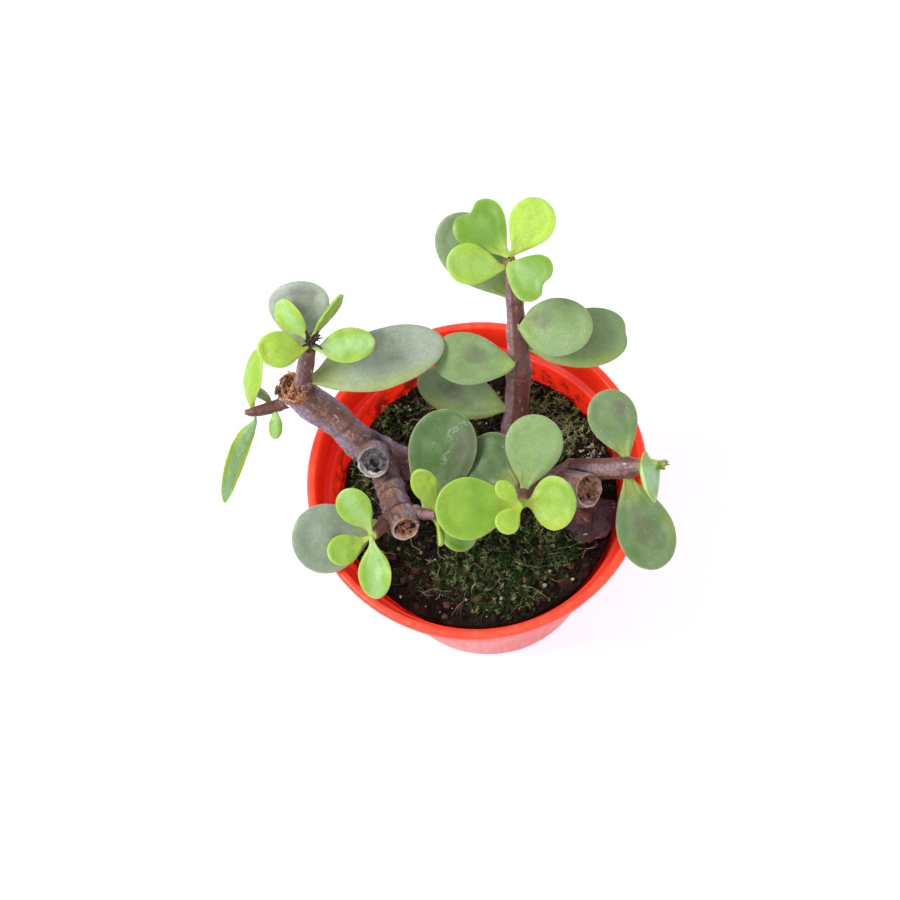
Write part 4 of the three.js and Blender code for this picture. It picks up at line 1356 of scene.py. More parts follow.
def from_edge_of(onward, sideways, length):
    """How far each point is from the leaf's edge, found by looking outwards from the blade's middle."""
    ahead = onward - 0.55 * length
    turn, reach = np.arctan2(sideways, ahead), np.hypot(sideways, ahead)
    steps = np.linspace(-math.pi, math.pi, EDGE_STEPS + 1)
    place = np.clip(np.digitize(turn, steps) - 1, 0, EDGE_STEPS - 1)
    edge = np.array([reach[place == k].max() if (place == k).any() else 0 for k in range(EDGE_STEPS)])
    middles, filled = (steps[:-1] + steps[1:]) / 2, edge > 0
    limit = np.interp(turn, middles[filled], edge[filled], period=2 * math.pi)
    return np.maximum(limit - reach, 0)


def mark_leaf(leaf, base, tip, look):
    """Gives the blade its waves, hollow and furrow, and tells each point where it is on the leaf."""
    tone, bloom_and_sheen_share, lime_side, spot = look
    points = points_of(leaf)
    along, across, up = leaf_axes(points, base, tip)
    offset = points - base
    onward, sideways = offset @ along, offset @ across
    length = np.percentile(onward, 99.8)
    width = 2 * np.percentile(np.abs(sideways), 99.5)
    inland = from_edge_of(onward, sideways, length)
    upper = normals_of(leaf) @ up
    seed = float(np.abs(base).sum() * 1000)
    size = min(width / (12 * MM), 1.0)
    drift = 0.42 * size * fractal(points, 0.5 * width / MM, 2, seed) + 0.02 * fractal(points, 1.4, 2, seed)
    dish = np.clip(inland / (0.20 * width), 0, 1) ** 2
    on_top = np.clip(upper, 0, 1)
    hollow = -0.38 * size * dish * on_top
    furrow = -0.16 * size * np.exp(-((sideways / (0.07 * width)) ** 2))
    furrow = furrow * np.clip(1 - onward / length, 0, 1) * on_top
    move_points(leaf, points + up * ((drift + hollow + furrow) * MM)[:, None])
    carry(leaf, "along", onward / length)
    carry(leaf, "across", 2 * sideways / width)
    carry(leaf, "from_edge", inland / MM)
    carry(leaf, "upper", upper)
    carry(leaf, "tone", np.full(len(points), tone))
    carry(leaf, "bloom_and_sheen_share", np.full(len(points), bloom_and_sheen_share))
    carry(leaf, "lime", np.clip(1.7 * (lime_side * 2 * sideways / width - 0.35), 0, 1))
    carry(leaf, "spot", np.tile(spot, (len(points), 1)))


print("leaf marking helpers ready")

# %% [markdown]
# Old leaves are grey-green under a thin wax bloom, with a brown-grey blotch somewhere on the blade, a
# pale pinkish line round the edge, thin pale creases in the wax and a few white dots where drops have
# dried. Young leaves are bright lime, clearer and yellower at the edge, and some have a cool pale band
# along the middle, which is partly wax and partly a painted sheen. Both are the same skin with other
# colours, so the skin is one node group that reads the leaf's own places.

# %% The leaf skin group
LEAF_SKIN, given, taken = new_group(
    "leaf_skin",
    [("Body", "Color", (0.2, 0.4, 0.1, 1)), ("Other", "Color", (0.3, 0.4, 0.3, 1)),
     ("Foot", "Color", (0.3, 0.45, 0.08, 1)), ("Blotch", "Color", (0.2, 0.2, 0.17, 1)),
     ("Bloom And Sheen", "Color", (0.4, 0.5, 0.4, 1)), ("Edge", "Color", (0.5, 0.5, 0.3, 1)),
     ("Clear Rim", "Color", (0.5, 0.6, 0.1, 1)), ("Blotch Share", "Float", 0.5),
     ("Bloom Even", "Float", 0.5), ("Edge Share", "Float", 0.7), ("Rim Share", "Float", 0.5),
     ("Creases", "Float", 0.3), ("Dots", "Float", 0.1)],
    [("Color", "Color"), ("Roughness", "Float"), ("Height", "Float")],
)
skin = LEAF_SKIN
here = place_of(skin)
along, across, from_edge = (read(skin, name) for name in ("along", "across", "from_edge"))
wander = mottle(skin, here, 6, 0.3, 0.7)
fine = mottle(skin, here, 0.7, 0.3, 0.7)
aged = plus(skin, read(skin, "tone"), times(skin, plus(skin, wander, -0.5), 0.22))
shade = blend(skin, aged, given["Body"], given["Other"])
foot = times(skin, fade(skin, along, 0.34, 0.02), 0.75)
shade = blend(skin, maths(skin, "MAXIMUM", foot, read(skin, "lime")), shade, given["Foot"])
# The bloom: wax along the middle of the leaf, or all over it, rubbed off in places. On the young
# leaves it is partly wax and partly a painted sheen.
band = fade(skin, maths(skin, "ABSOLUTE", across), 0.75, 0.1)
spread = maths(skin, "MAXIMUM", band, given["Bloom Even"])
rubbed = plus(skin, 0.84, times(skin, mottle(skin, here, 3.5, 0.3, 0.62), 0.16))
bloom_and_sheen_mask = times(skin, read(skin, "bloom_and_sheen_share"), spread, rubbed)
shade = blend(skin, bloom_and_sheen_mask, shade, given["Bloom And Sheen"])
# The blotch: an oval whose outline wanders.
spot = put(skin, "SeparateXYZ", {"Vector": read(skin, "spot", "Vector")}).outputs
forth = maths(skin, "DIVIDE", maths(skin, "SUBTRACT", along, spot["X"]), times(skin, spot["Z"], 0.24))
aside = maths(skin, "DIVIDE", maths(skin, "SUBTRACT", across, spot["Y"]), times(skin, spot["Z"], 0.46))
oval = long_side(skin, forth, aside)
oval = plus(skin, oval, times(skin, plus(skin, mottle(skin, here, 3.5, 0.2, 0.8), -0.5), 0.7))
blotch = times(skin, fade(skin, oval, 1.2, 0.4), given["Blotch Share"])
shade = blend(skin, blotch, shade, given["Blotch"])
# A clear lighter rim inside the edge, and the thin edge line itself, broken here and there.
rim = times(skin, fade(skin, from_edge, 1.2, 0.2), given["Rim Share"])
shade = blend(skin, rim, shade, given["Clear Rim"])
broken = plus(skin, 0.55, times(skin, mottle(skin, here, 3), 0.45))
edge = times(skin, fade(skin, from_edge, 0.42, 0.08), broken, given["Edge Share"])
shade = blend(skin, edge, shade, given["Edge"])
# Fine dark grain, long pale creases in the wax, and dried drops on the upper face.
shade = blend(skin, times(skin, fine, 0.24), shade, given["Blotch"])
blade = {"X": times(skin, across, 1.1), "Y": times(skin, along, 0.55), "Z": read(skin, "tone")}
lengthwise = put(skin, "CombineXYZ", blade).outputs[0]
cloud = put(skin, "TexNoise", {"Vector": lengthwise, "Scale": 1.6, "Detail": 2.5}).outputs["Fac"]
crease = fade(skin, maths(skin, "ABSOLUTE", plus(skin, cloud, -0.5)), 0.010, 0.002)
crease = times(skin, crease, mottle(skin, here, 4, 0.48, 0.62), given["Creases"])
# On the darkest leaves the blotch has a broken pale outline, where the skin was once creased.
outline = fade(skin, maths(skin, "ABSOLUTE", plus(skin, oval, -1.0)), 0.07, 0.01)
darkest = fade(skin, read(skin, "tone"), 0.1, 0.0)
outline = times(skin, outline, mottle(skin, here, 2.5, 0.35, 0.6), darkest, 0.3)
crease = maths(skin, "MAXIMUM", crease, outline)
shade = blend(skin, crease, shade, (0.50, 0.55, 0.46, 1))
upper = fade(skin, read(skin, "upper"), 0.0, 0.4)
clouds = mottle(skin, here, 3, 0.42, 0.62)
grain = times(skin, specks(skin, here, 0.5, 0.30, 0.30), clouds, given["Dots"], 4.5)
dots = times(skin, specks(skin, here, 1.5, given["Dots"], 0.12), 0.55)
pale = times(skin, maths(skin, "MAXIMUM", grain, dots), upper)
shade = blend(skin, pale, shade, (0.66, 0.72, 0.62, 1))
skin.links.new(shade, taken["Color"])
skin.links.new(plus(skin, 0.36, times(skin, bloom_and_sheen_mask, 0.10), times(skin, fine, 0.10)), taken["Roughness"])
skin.links.new(plus(skin, times(skin, fine, 0.5), pale), taken["Height"])
print("leaf skin group:", len(skin.nodes), "nodes")

# %% Two leaf materials from the one skin
def leaf_finish(name, values, light_through):
    """A leaf material: the shared skin with its own colours, and a share of light that shines through."""
    made, tree, shader = finish(name)
    skin = put(tree, "Group", values, node_tree=LEAF_SKIN).outputs
    wire(tree, shader.inputs["Base Color"], skin["Color"])
    wire(tree, shader.inputs["Roughness"], skin["Roughness"])
    wire(tree, shader.inputs["Normal"], bump(tree, skin["Height"], 0.035))
    shader.inputs["Subsurface Weight"].default_value = light_through
    shader.inputs["Subsurface Radius"].default_value = (0.55, 1.0, 0.15)
    shader.inputs["Subsurface Scale"].default_value = 1.6 * MM
    shader.inputs["Specular IOR Level"].default_value = 0.32
    return made


old_leaf = leaf_finish("old_leaf_skin", {
    "Body": (0.066, 0.145, 0.032, 1), "Other": (0.400, 0.450, 0.390, 1), "Foot": (0.32, 0.395, 0.060, 1),
    "Blotch": (0.120, 0.105, 0.080, 1), "Bloom And Sheen": (0.25, 0.40, 0.11, 1), "Edge": (0.46, 0.42, 0.30, 1),
    "Clear Rim": (0.20, 0.31, 0.11, 1), "Blotch Share": 0.5, "Bloom Even": 0.9, "Edge Share": 0.5,
    "Rim Share": 0.25, "Creases": 0.14, "Dots": 0.06}, 0.18)
# The young leaves' bloom colour is partly wax and partly a painted sheen.
young_leaf = leaf_finish("young_leaf_skin", {
    "Body": (0.128, 0.275, 0.016, 1), "Other": (0.45, 0.64, 0.080, 1), "Foot": (0.37, 0.46, 0.040, 1),
    "Blotch": (0.12, 0.25, 0.03, 1), "Bloom And Sheen": (0.38, 0.60, 0.30, 1), "Edge": (0.54, 0.62, 0.24, 1),
    "Clear Rim": (0.36, 0.52, 0.05, 1), "Blotch Share": 0.18, "Bloom Even": 0.1, "Edge Share": 0.35,
    "Rim Share": 0.22, "Creases": 0.0, "Dots": 0.01}, 0.35)
print("leaf materials:", old_leaf.name, young_leaf.name)

# %% [markdown]
# Each leaf has its own age and its own marks. They are written on the mesh, so that all old leaves
# share one material and all young ones another. The tone is 0 for a plain leaf of its kind and 1 for
# the greyest old leaf or the yellowest young one. Then comes how much bloom it has, which on the young
# leaves is partly a painted sheen, how strongly one side is lime (left above 0, right below), and its
# blotch: how far along, how far across, and how large.

# %% Dress every leaf
PLAIN = (0.0, 0.0, 0.01)
LOOKS = {
    "top_leaf_grey": (1.1, 0.0, 0, (0.72, -0.2, 1.2)),
    "top_leaf_long": (0.88, 0.15, -0.85, (0.42, 0.6, 1.1)),
    "under_leaf_grey": (0.52, 0.0, 0, (0.45, 0.1, 0.5)),
    "beside_leaf_grey": (0.0, 0.0, 0, (0.62, -0.75, 1.5)), "middle_leaf_behind": (0.0, 0.0, 0, PLAIN),
    "middle_leaf_round": (0.42, 0.8, 0, PLAIN), "back_leaf_round": (0.45, 0.7, 0, (0.30, 0.25, 0.9)),
    "back_leaf_dented": (0.38, 0.55, -1, (0.5, 0.0, 0.9)),
    "back_leaf_mid": (0.28, 0.55, 0, (0.5, -0.15, 0.9)), "back_leaf_low": (0.45, 0.4, 1, (0.6, 0.0, 0.8)),
    "back_leaf_grey": (0.36, 0.4, 0, (0.7, -0.3, 1.2)),
    "right_leaf_up": (0.20, 0.3, 0.5, (0.66, -0.3, 0.8)),
    "right_leaf_down": (0.11, 0.2, 0.62, (0.56, 0.05, 1.0)), "side_leaf_back": (0.42, 0.2, 0, PLAIN),
    "back_leaf_yellow": (1.0, 0.1, 0, PLAIN), "side_leaf_down": (1.0, 1.2, 0, PLAIN),
    "side_leaf_up": (0.55, 0.0, 0, PLAIN), "side_leaf_stub": (0.3, 0.7, 0, PLAIN),
    "back_leaf_left": (0.68, 0.25, 0, PLAIN), "back_leaf_heart": (0.05, 0.12, 0, PLAIN),
    "back_leaf_right": (0.20, 0.35, 0, PLAIN), "middle_leaf_right": (0.42, 0.0, -1, PLAIN),
    "middle_leaf_left": (0.27, 0.0, 0, PLAIN), "top_leaf_left": (0.88, 0.0, 0, PLAIN),
    "top_leaf_right": (0.40, 0.6, 0, PLAIN), "top_leaf_back_left": (0.55, 0.5, 0, PLAIN),
    "top_leaf_back_right": (0.45, 0.2, 0, PLAIN), "under_leaf_up": (0.46, 0.5, 0, PLAIN),
    "under_leaf_left": (0.50, 0.1, 0, PLAIN), "under_leaf_down": (0.42, 0.6, 0, PLAIN),
    "beside_leaf_back": (0.55, 0.0, 0, PLAIN), "beside_leaf_low": (0.10, 0.3, 0, PLAIN),
    "right_leaf_edge": (0.35, 1.5, 1, PLAIN), "middle_leaf_tiny_back": (0.70, 0.0, 0, PLAIN),
    "middle_leaf_tiny_front": (0.60, 0.0, 0, PLAIN),
}
UNLISTED = (0.4, 0.2, 0, PLAIN)
SMALL_LEAF = 8.5 * MM
slots = {part["node"]: part["material_slot"] for part in frame["record"]["subparts"]}
leaf_nodes = sorted(name for name in frame["nodes"] if "_leaf" in name)
faces = 0
for node in leaf_nodes:
    low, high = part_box(node)
    size = max(high[i] - low[i] for i in range(3))
    leaf, base, tip = smooth_leaf(node, 3 if size > SMALL_LEAF else 2)
    mark_leaf(leaf, base, tip, LOOKS.get(node, UNLISTED))
    leaf.data.materials.append(old_leaf if slots[node] == "leaf_old" else young_leaf)
    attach(leaf, "root")
    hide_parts(node)
    faces += len(leaf.data.polygons)
print(len(leaf_nodes), "leaves,", faces, "faces")

# %% [markdown]
# ## The soil
#
# The pot is filled with peat to about a centimetre and a half below its lip. Its top is a crust of
# dark crumbs with green moss in tufts and carpets, brown and straw-coloured root fibres, and white
# grains of perlite. A displaced sheet alone would look like clay, so the sheet gives only the ground,
# and the crumbs, fibres, grains and moss are small models that are copied over it.
#
# The ground is a fine grid, trimmed to the pot's round inside, raised point by point, and then
# extruded down and drawn in to fill the pot.

# %% The ground
# In millimetres: how far out the ground goes, the radius of the soil's solid where it meets the wall,
# and the ground's height in the middle and at the wall.
SOIL_EDGE, SOLID_EDGE = 35.1, 35.4
MIDDLE_HEIGHT, WALL_HEIGHT = 52.6, 49.5


def ground_height(points):
    """The soil's height at each place, in metres: the slow waves of the solid, then lumps and crumbs."""
    x, y = points[:, 0] / MM, points[:, 1] / MM
    out = np.hypot(x, y) / SOLID_EDGE
    crown = MIDDLE_HEIGHT - (MIDDLE_HEIGHT - WALL_HEIGHT) * out**2
    waves = np.sin(0.31 * x + 0.8) * np.cos(0.27 * y) + 0.6 * np.sin(0.53 * y - 0.37 * x)
    flat = points * (1, 1, 0)
    lumps = 0.9 * fractal(flat, 5.0, 2, 2.0) + 0.9 * np.abs(fractal(flat, 2.2, 2, 8.0))
    lumps += 0.38 * fractal(flat, 0.8, 2, 5.0)
    return (crown + 0.8 * waves * (1 - 0.6 * out**4) + lumps - 0.5) * MM


ground = round_grid("peat_ground", 180, 2 * SOIL_EDGE * MM + 2 * MM, SOIL_EDGE * MM)
bpy.ops.object.mode_set(mode="EDIT")
mesh = bmesh.from_edit_mesh(ground.data)
for vertex in mesh.verts:
    if vertex.is_boundary:
        vertex.co *= SOIL_EDGE * MM / math.hypot(vertex.co.x, vertex.co.y)
bmesh.update_edit_mesh(ground.data)
bpy.ops.object.mode_set(mode="OBJECT")
points = points_of(ground)
points[:, 2] = ground_height(points)
move_points(ground, points)
bpy.ops.object.mode_set(mode="EDIT")
mesh = bmesh.from_edit_mesh(ground.data)
bpy.ops.mesh.select_mode(type="EDGE")
for edge in mesh.edges:
    edge.select_set(edge.is_boundary)
bmesh.update_edit_mesh(ground.data)
# The rim goes down inside the wall in two steps, in millimetres, narrower and flatter each time.
for drop, narrowing in ((-6, 0.965), (-38, 0.785)):
    bpy.ops.mesh.extrude_region_move(TRANSFORM_OT_translate={"value": (0, 0, drop * MM)})
    bpy.ops.transform.resize(value=(narrowing, narrowing, 0.2), center_override=(0, 0, (48 + drop) * MM))
bpy.ops.mesh.edge_face_add()
bpy.ops.mesh.select_all(action="SELECT")
bpy.ops.mesh.normals_make_consistent(inside=False)
bpy.ops.object.mode_set(mode="OBJECT")
bpy.ops.object.shade_smooth()
print("ground:", len(ground.data.polygons), "faces, top at", round(points[:, 2].max() / MM, 1), "mm")

# %% [markdown]
# The peat is nearly black when damp, with brown and grey-brown crumbs, and a green film where algae
# and the youngest moss have begun to cover it.

# %% Peat
peat, tree, shader = finish("damp_peat")
where = place_of(tree)
patch = mottle(tree, where, 1.0, 0.40, 0.62)
colour = blend(tree, patch, (0.005, 0.0035, 0.0025, 1), (0.040, 0.023, 0.014, 1))
colour = blend(tree, mottle(tree, where, 5, 0.54, 0.66), colour, (0.150, 0.075, 0.045, 1))
colour = blend(tree, times(tree, mottle(tree, where, 4, 0.5, 0.62), 0.7), colour, (0.026, 0.044, 0.012, 1))
colour = blend(tree, specks(tree, where, 0.7, 0.12, 0.3), colour, (0.36, 0.28, 0.18, 1))
# Behind the stem the peat has dried out, brown and fibrous.
DRIED_SPOT = (-3 * MM, 26 * MM, 52 * MM)
away = put(tree, "VectorMath", {0: where, 1: DRIED_SPOT}, operation="DISTANCE").outputs["Value"]
dried = times(tree, fade(tree, away, 9 * MM, 3 * MM), mottle(tree, where, 1.2, 0.35, 0.60), 0.8)
colour = blend(tree, dried, colour, (0.20, 0.115, 0.070, 1))
# Beside the wall the peat is nearly black: partly wet, where the water runs down, and partly painted shade
# under the wall.
at = put(tree, "SeparateXYZ", {"Vector": where}).outputs
at_wall = times(tree, fade(tree, long_side(tree, at["X"], at["Y"]), 28 * MM, 33 * MM), 0.75)
colour = blend(tree, at_wall, colour, (0.010, 0.005, 0.004, 1))
wire(tree, shader.inputs["Base Color"], colour)
wet = mottle(tree, where, 3, 0.4, 0.6)
wire(tree, shader.inputs["Roughness"], maths(tree, "SUBTRACT", 0.95, maths(tree, "MULTIPLY", wet, 0.3)))
shader.inputs["Specular IOR Level"].default_value = 0.12
wire(tree, shader.inputs["Normal"], bump(tree, mottle(tree, where, 0.45, 0.2, 0.8), 0.25))
ground.data.materials.append(peat)
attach(ground, "root")
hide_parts("soil")
print("ground dressed in", peat.name)

# %% Peat crumbs
crumb, tree, shader = finish("peat_crumb")
where = place_of(tree)
dryness = fade(tree, read(tree, "tint"), 0.55, 1.0)
colour = blend(tree, dryness, (0.006, 0.004, 0.003, 1), (0.22, 0.125, 0.075, 1))
colour = blend(tree, times(tree, mottle(tree, where, 0.5), 0.7), colour, (0.030, 0.018, 0.012, 1))
wire(tree, shader.inputs["Base Color"], colour)
shader.inputs["Roughness"].default_value = 0.92
wire(tree, shader.inputs["Normal"], bump(tree, mottle(tree, where, 0.3), 0.15))


def rough_stone(name, radius, unevenness, seed):
    """A lump with flat and hollow sides: a ball of few faces whose points are pushed in and out."""
    bpy.ops.object.select_all(action="DESELECT")
    bpy.ops.mesh.primitive_uv_sphere_add(segments=6, ring_count=5, radius=radius)
    made = bpy.context.object
    made.name = name
    points = points_of(made)
    push = 1 + unevenness * fractal(points / radius * MM, 0.9, 2, seed)
    move_points(made, points * push[:, None] * (1, 0.85, 0.7))
    return made


def free_spots(count, seed, edge=34.0):
    """Random places on the soil in metres, within an edge in millimetres, and the draw they came from."""
    draw = np.random.default_rng(seed)
    radius = edge * np.sqrt(draw.random(count)) * MM
    turn = draw.random(count) * 2 * math.pi
    spots = np.stack([radius * np.cos(turn), radius * np.sin(turn), np.zeros(count)], axis=1)
    spots[:, 2] = ground_height(spots)
    return spots, draw


def tumbled(spots, draw, low, high):
    """Placements at these spots, each turned any way, with sizes from low to high."""
    made = []
    for spot in spots:
        turn = Vector(draw.normal(size=3)).normalized()
        size = low + (high - low) * draw.random() ** 2
        spin = Matrix.Rotation(draw.random() * ALL_ROUND, 4, turn)
        made.append(Matrix.Translation(Vector(spot)) @ spin @ Matrix.Scale(size, 4))
    return made


CRUMBS = 1250
stone = rough_stone("stone", 1 * MM, 0.45, 1.0)
spots, draw = free_spots(CRUMBS, 21)
crumbs = scattered("peat_crumbs", stone, tumbled(spots, draw, 0.22, 1.3), draw.random(len(spots)))
bpy.data.objects.remove(stone)
crumbs.data.materials.append(crumb)
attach(crumbs, "root")
print("crumbs:", len(spots), "with", len(crumbs.data.polygons), "faces")

# %% [markdown]
# Perlite is a popped volcanic glass: small white grains that float up when the pot is watered. They
# are the same lump as a crumb, rounder and paler, and a nest of them has gathered on the right.

# %% Perlite grains
GRAINS, IN_NEST = 120, 22
NEST, NEST_SPREAD = (29.3 * MM, 5.4 * MM), (1.3 * MM, 1.9 * MM)
perlite, tree, shader = finish("perlite")
where = place_of(tree)
colour = blend(tree, mottle(tree, where, 0.8), (0.72, 0.72, 0.68, 1), (0.42, 0.41, 0.36, 1))
wire(tree, shader.inputs["Base Color"], colour)
shader.inputs["Roughness"].default_value = 0.85
wire(tree, shader.inputs["Normal"], bump(tree, mottle(tree, where, 0.25), 0.12))
stone = rough_stone("stone", 1 * MM, 0.28, 6.0)
spots, draw = free_spots(GRAINS, 33)
spots[:IN_NEST, :2] = NEST + draw.normal(size=(IN_NEST, 2)) * NEST_SPREAD
spots[:, 2] = ground_height(spots)
placements = tumbled(spots + (0, 0, 0.5 * MM), draw, 0.16, 0.66)
grains = scattered("perlite_grains", stone, placements, draw.random(len(spots)))
bpy.data.objects.remove(stone)
grains.data.materials.append(perlite)
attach(grains, "root")
print("perlite:", len(spots), "grains, nest of", IN_NEST)

# %% [markdown]
# ## Moss and fibres
#
# A moss plant is a tiny star of pointed leaves on a thread of a stem. Modelled leaf by leaf, thousands
# of them would be far too heavy, so one star of few faces is modelled and copied: a short prism whose
# sides are extruded outwards and drawn to points. The moss grows in patches: pale tufts at the back on
# both sides of the stem, a dark carpet in front, and bare peat between them. The patches are listed,
# and a slow noise breaks up their edges.

# %% Model one star of moss
def moss_star(name, leaves, seed):
    """A small star of pointed leaves, each a side of a short prism extruded out and up to a point."""
    draw = random.Random(seed)
    bpy.ops.object.select_all(action="DESELECT")
    bpy.ops.mesh.primitive_cylinder_add(
        vertices=leaves, radius=0.17 * MM, depth=0.5 * MM, end_fill_type="NGON")
    made = bpy.context.object
    made.name = name
    bpy.ops.object.mode_set(mode="EDIT")
    bpy.ops.mesh.select_mode(type="FACE")
    mesh = bmesh.from_edit_mesh(made.data)
    sides = [face.calc_center_median().copy() for face in mesh.faces if abs(face.normal.z) < 0.5]
    for spot in sides:
        bpy.ops.mesh.select_all(action="DESELECT")
        mesh = bmesh.from_edit_mesh(made.data)
        nearest = min(mesh.faces, key=lambda face: (face.calc_center_median() - spot).length)
        nearest.select_set(True)
        bmesh.update_edit_mesh(made.data)
        outward = Vector((spot.x, spot.y, 0)).normalized()
        lift, reach = draw.uniform(0.15, 0.6), draw.uniform(0.75, 0.95)
        move = (outward * reach + Vector((0, 0, lift * reach))) * MM
        bpy.ops.mesh.extrude_region_move(TRANSFORM_OT_translate={"value": tuple(move)})
        bpy.ops.transform.resize(value=(0.12, 0.12, 0.08), center_override=chosen_middle(made))
    bpy.ops.object.mode_set(mode="OBJECT")
    return made


star = moss_star("star", 5, 2)
print("one star of moss:", len(star.data.polygons), "faces")

# %% Where moss grows
PATCHES = [
    # middle x and y, reach in millimetres, how thick it grows, how pale it is
    (-22, 25, 9, 0.9, 0.6), (-26, 13, 6, 0.9, 0.5), (-16, 17, 4, 0.5, 0.3), (21, 17, 8, 0.8, 1.0),
    (29, 12, 7, 0.6, 0.8), (20, 8, 6, 0.7, 0.8), (3, -22, 14, 1.0, 0.10), (17, -19, 8, 1.0, 0.20),
    (3, -10, 5, 0.9, 0.7), (12, -15, 4, 1.0, 1.0), (-11, -17, 6, 0.6, 0.5), (-26, -15, 6, 0.4, 0.6),
    (-31, 4, 4, 0.5, 0.3), (2, -32, 6, 0.6, 0.3), (-6, 31, 5, 0.4, 0.2), (28, -2, 5, 0.5, 0.4),
]


def moss_cover(spots):
    """How well moss grows at each spot, and how pale it is there, from 0 to 1."""
    x, y = spots[:, 0] / MM, spots[:, 1] / MM
    growth, paleness = np.full(len(spots), 0.04), np.full(len(spots), 0.01)
    for middle_x, middle_y, reach, thick, pale in PATCHES:
        near = thick * np.exp(-((x - middle_x) ** 2 + (y - middle_y) ** 2) / reach**2)
        growth += near
        paleness += near * pale
    broken = growth + 0.75 * fractal(spots * (1, 1, 0), 4.0, 3, 14.0)
    # In front, the dark strip along the wall, where the peat is painted wet and shaded, stays bare.
    strip = np.clip((np.hypot(x, y) - 28.5) / 4, 0, 1) * np.clip((6 - y) / 8, 0, 1)
    return np.clip(1.7 * broken - 0.30 - 0.8 * strip, 0, 1), np.clip(paleness / growth, 0, 1)


MOSS_TRIED = 9600
spots, draw = free_spots(MOSS_TRIED, 57, 34.6)
cover, pale = moss_cover(spots)
kept = draw.random(len(spots)) < cover * 0.7
spots, cover, pale = spots[kept], cover[kept], pale[kept]
print("moss takes at", len(spots), "of", MOSS_TRIED, "spots")

# %% Carpet the soil with moss
tufted = np.clip(0.5 + 1.9 * fractal(spots * (1, 1, 0), 2.4, 2, 40.0), 0, 1)
placements = []
for spot, thick, tuft in zip(spots, cover, tufted):
    size = (0.42 + 0.62 * draw.random() ** 2) * (0.65 + 0.5 * thick)
    lean = Matrix.Rotation(draw.normal() * 0.5, 4, "X") @ Matrix.Rotation(draw.normal() * 0.5, 4, "Y")
    spin = Matrix.Rotation(draw.random() * ALL_ROUND, 4, "Z")
    lifted = Vector(spot) + Vector((0, 0, (0.1 + 2.6 * tuft * thick * draw.random()) * MM))
    placements.append(Matrix.Translation(lifted) @ lean @ spin @ Matrix.Scale(size, 4))
tint = np.clip(pale * (0.25 + 1.3 * draw.random(len(spots)) ** 2) + 0.7 * (tufted - 0.58), 0, 1)
moss_piece = scattered("moss", star, placements, tint)
bpy.data.objects.remove(star)
print("moss:", len(placements), "stars,", len(moss_piece.data.polygons), "faces")

# %% The moss's finish
moss, tree, shader = finish("moss_green")
deep = blend(tree, read(tree, "tint"), (0.004, 0.012, 0.004, 1), (0.045, 0.070, 0.018, 1))
paled = fade(tree, read(tree, "tint"), 0.15, 0.75)
bright = blend(tree, paled, (0.042, 0.140, 0.024, 1), (0.62, 0.74, 0.30, 1))
colour = blend(tree, fade(tree, read(tree, "tip"), 0.3, 1.0), deep, bright)
browned = times(tree, mottle(tree, place_of(tree), 2, 0.55, 0.7), 0.3)
colour = blend(tree, browned, colour, (0.15, 0.105, 0.045, 1))
wire(tree, shader.inputs["Base Color"], colour)
shader.inputs["Roughness"].default_value = 0.6
shader.inputs["Specular IOR Level"].default_value = 0.2
shader.inputs["Subsurface Weight"].default_value = 0.1
shader.inputs["Subsurface Radius"].default_value = (0.6, 1.0, 0.2)
shader.inputs["Subsurface Scale"].default_value = 0.4 * MM
wire(tree, shader.inputs["Normal"], bump(tree, mottle(tree, place_of(tree), 0.25), 0.03))
moss_piece.data.materials.append(moss)
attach(moss_piece, "root")
print("moss dressed in", moss.name)

# %% [markdown]
# Fibres of peat and dead roots lie across the top. Each is a thin bent thread. A curve could be drawn
# for each, but two threads are enough, each made by extruding a small triangle in a wandering line:
# the copies are turned, tipped and stretched, so that no two look alike.

# %% Model a thread
THREAD_RADIUS, THREAD_STEP = 0.10 * MM, 0.75 * MM


def thread(name, steps, seed):
    """A thin bent thread from the origin, which rises a little, falls and thins at its end."""
    draw = random.Random(seed)
    bpy.ops.object.select_all(action="DESELECT")
    bpy.ops.mesh.primitive_circle_add(
        vertices=3, radius=THREAD_RADIUS, fill_type="NGON", rotation=(0, math.pi / 2, 0))
    made = bpy.context.object
    made.name = name
    bpy.ops.object.transform_apply(location=False, rotation=True, scale=True)
    bpy.ops.object.mode_set(mode="EDIT")
    bpy.ops.mesh.select_all(action="SELECT")
    heading, climb = 0.0, 0.5
    for i in range(steps):
        heading += draw.uniform(-0.6, 0.6)
        climb -= 1.1 / steps
        move = (THREAD_STEP * math.cos(heading), THREAD_STEP * math.sin(heading), THREAD_STEP * climb * 0.5)
        bpy.ops.mesh.extrude_region_move(TRANSFORM_OT_translate={"value": move})
        if i > steps - 4:
            bpy.ops.transform.resize(value=(0.7, 0.7, 0.7), center_override=chosen_middle(made))
    bpy.ops.object.mode_set(mode="OBJECT")
    return made


print("thread helper ready")

# %% Straw-coloured and brown fibres
FIBRES = 230
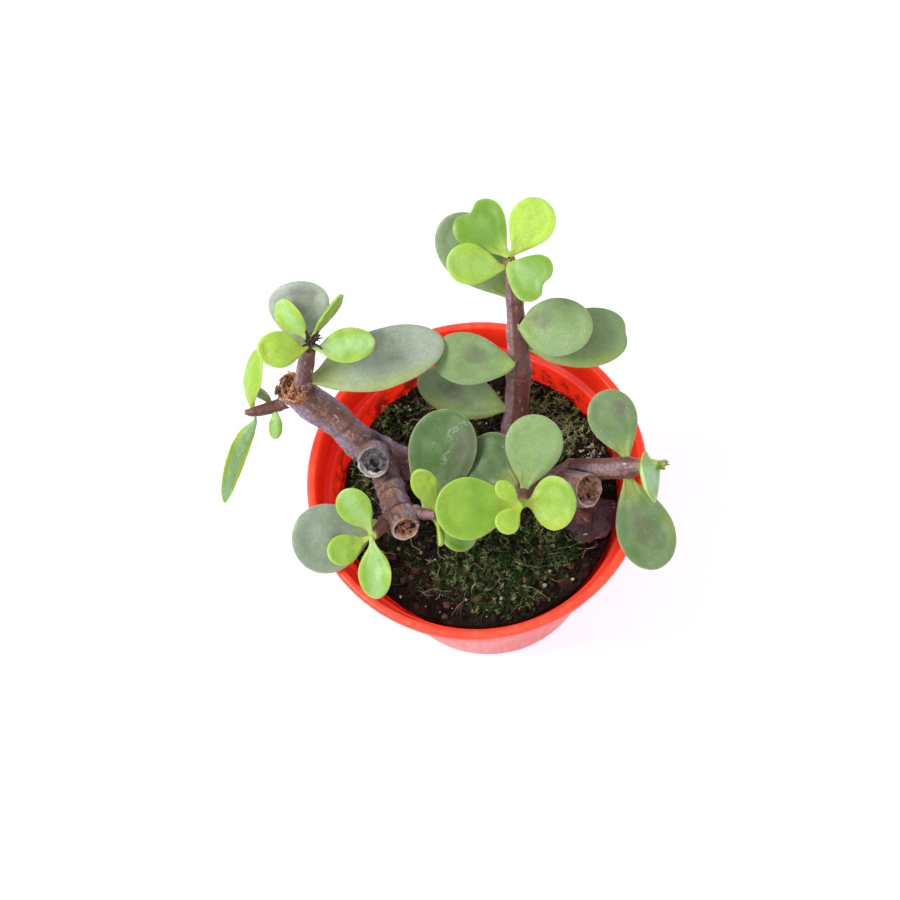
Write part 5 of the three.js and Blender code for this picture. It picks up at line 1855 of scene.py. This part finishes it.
# A tangle of pale threads lies on the right, behind the middle leaves, and a mat of brown ones at the
# back, behind the stem.
TANGLED, MATTED = 45, 40
TANGLE, TANGLE_SPREAD = (22 * MM, 14 * MM), (3.2 * MM, 4.2 * MM)
MAT, MAT_SPREAD = (-3 * MM, 26 * MM), (4.5 * MM, 3.0 * MM)
tangle, mat = slice(0, TANGLED), slice(TANGLED, TANGLED + MATTED)

fibre, tree, shader = finish("dead_fibre")
colour = blend(tree, read(tree, "tint"), (0.055, 0.030, 0.017, 1), (0.74, 0.68, 0.42, 1))
patch = times(tree, mottle(tree, place_of(tree), 1.2), 0.5)
wire(tree, shader.inputs["Base Color"], blend(tree, patch, colour, (0.17, 0.17, 0.065, 1)))
shader.inputs["Roughness"].default_value = 0.75
for number in range(2):
    line = thread("line", 10, 5 + number)
    spots, draw = free_spots(FIBRES, 70 + number, 32.0)
    spots[tangle, :2] = TANGLE + draw.normal(size=(TANGLED, 2)) * TANGLE_SPREAD
    spots[mat, :2] = MAT + draw.normal(size=(MATTED, 2)) * MAT_SPREAD
    spots[:, 2] = ground_height(spots)
    paleness = draw.random(len(spots)) ** 2.2
    paleness[tangle] = 0.55 + 0.45 * paleness[tangle]
    paleness[mat] = 0.15 + 0.35 * paleness[mat]
    placements = []
    for spot in spots:
        tip = Matrix.Rotation(draw.normal() * 0.25, 4, "X") @ Matrix.Rotation(draw.normal() * 0.25, 4, "Y")
        spin = Matrix.Rotation(draw.random() * ALL_ROUND, 4, "Z")
        size = Matrix.Diagonal((0.4 + 0.7 * draw.random(), 0.4 + 0.9 * draw.random(), 0.6 + draw.random(), 1))
        lifted = Vector(spot) + Vector((0, 0, draw.uniform(0.5, 1.6) * MM))
        placements.append(Matrix.Translation(lifted) @ tip @ spin @ size)
    fibres = scattered("fibres_%d" % number, line, placements, paleness)
    bpy.data.objects.remove(line)
    fibres.data.materials.append(fibre)
    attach(fibres, "root")
    print(fibres.name, len(fibres.data.polygons), "faces")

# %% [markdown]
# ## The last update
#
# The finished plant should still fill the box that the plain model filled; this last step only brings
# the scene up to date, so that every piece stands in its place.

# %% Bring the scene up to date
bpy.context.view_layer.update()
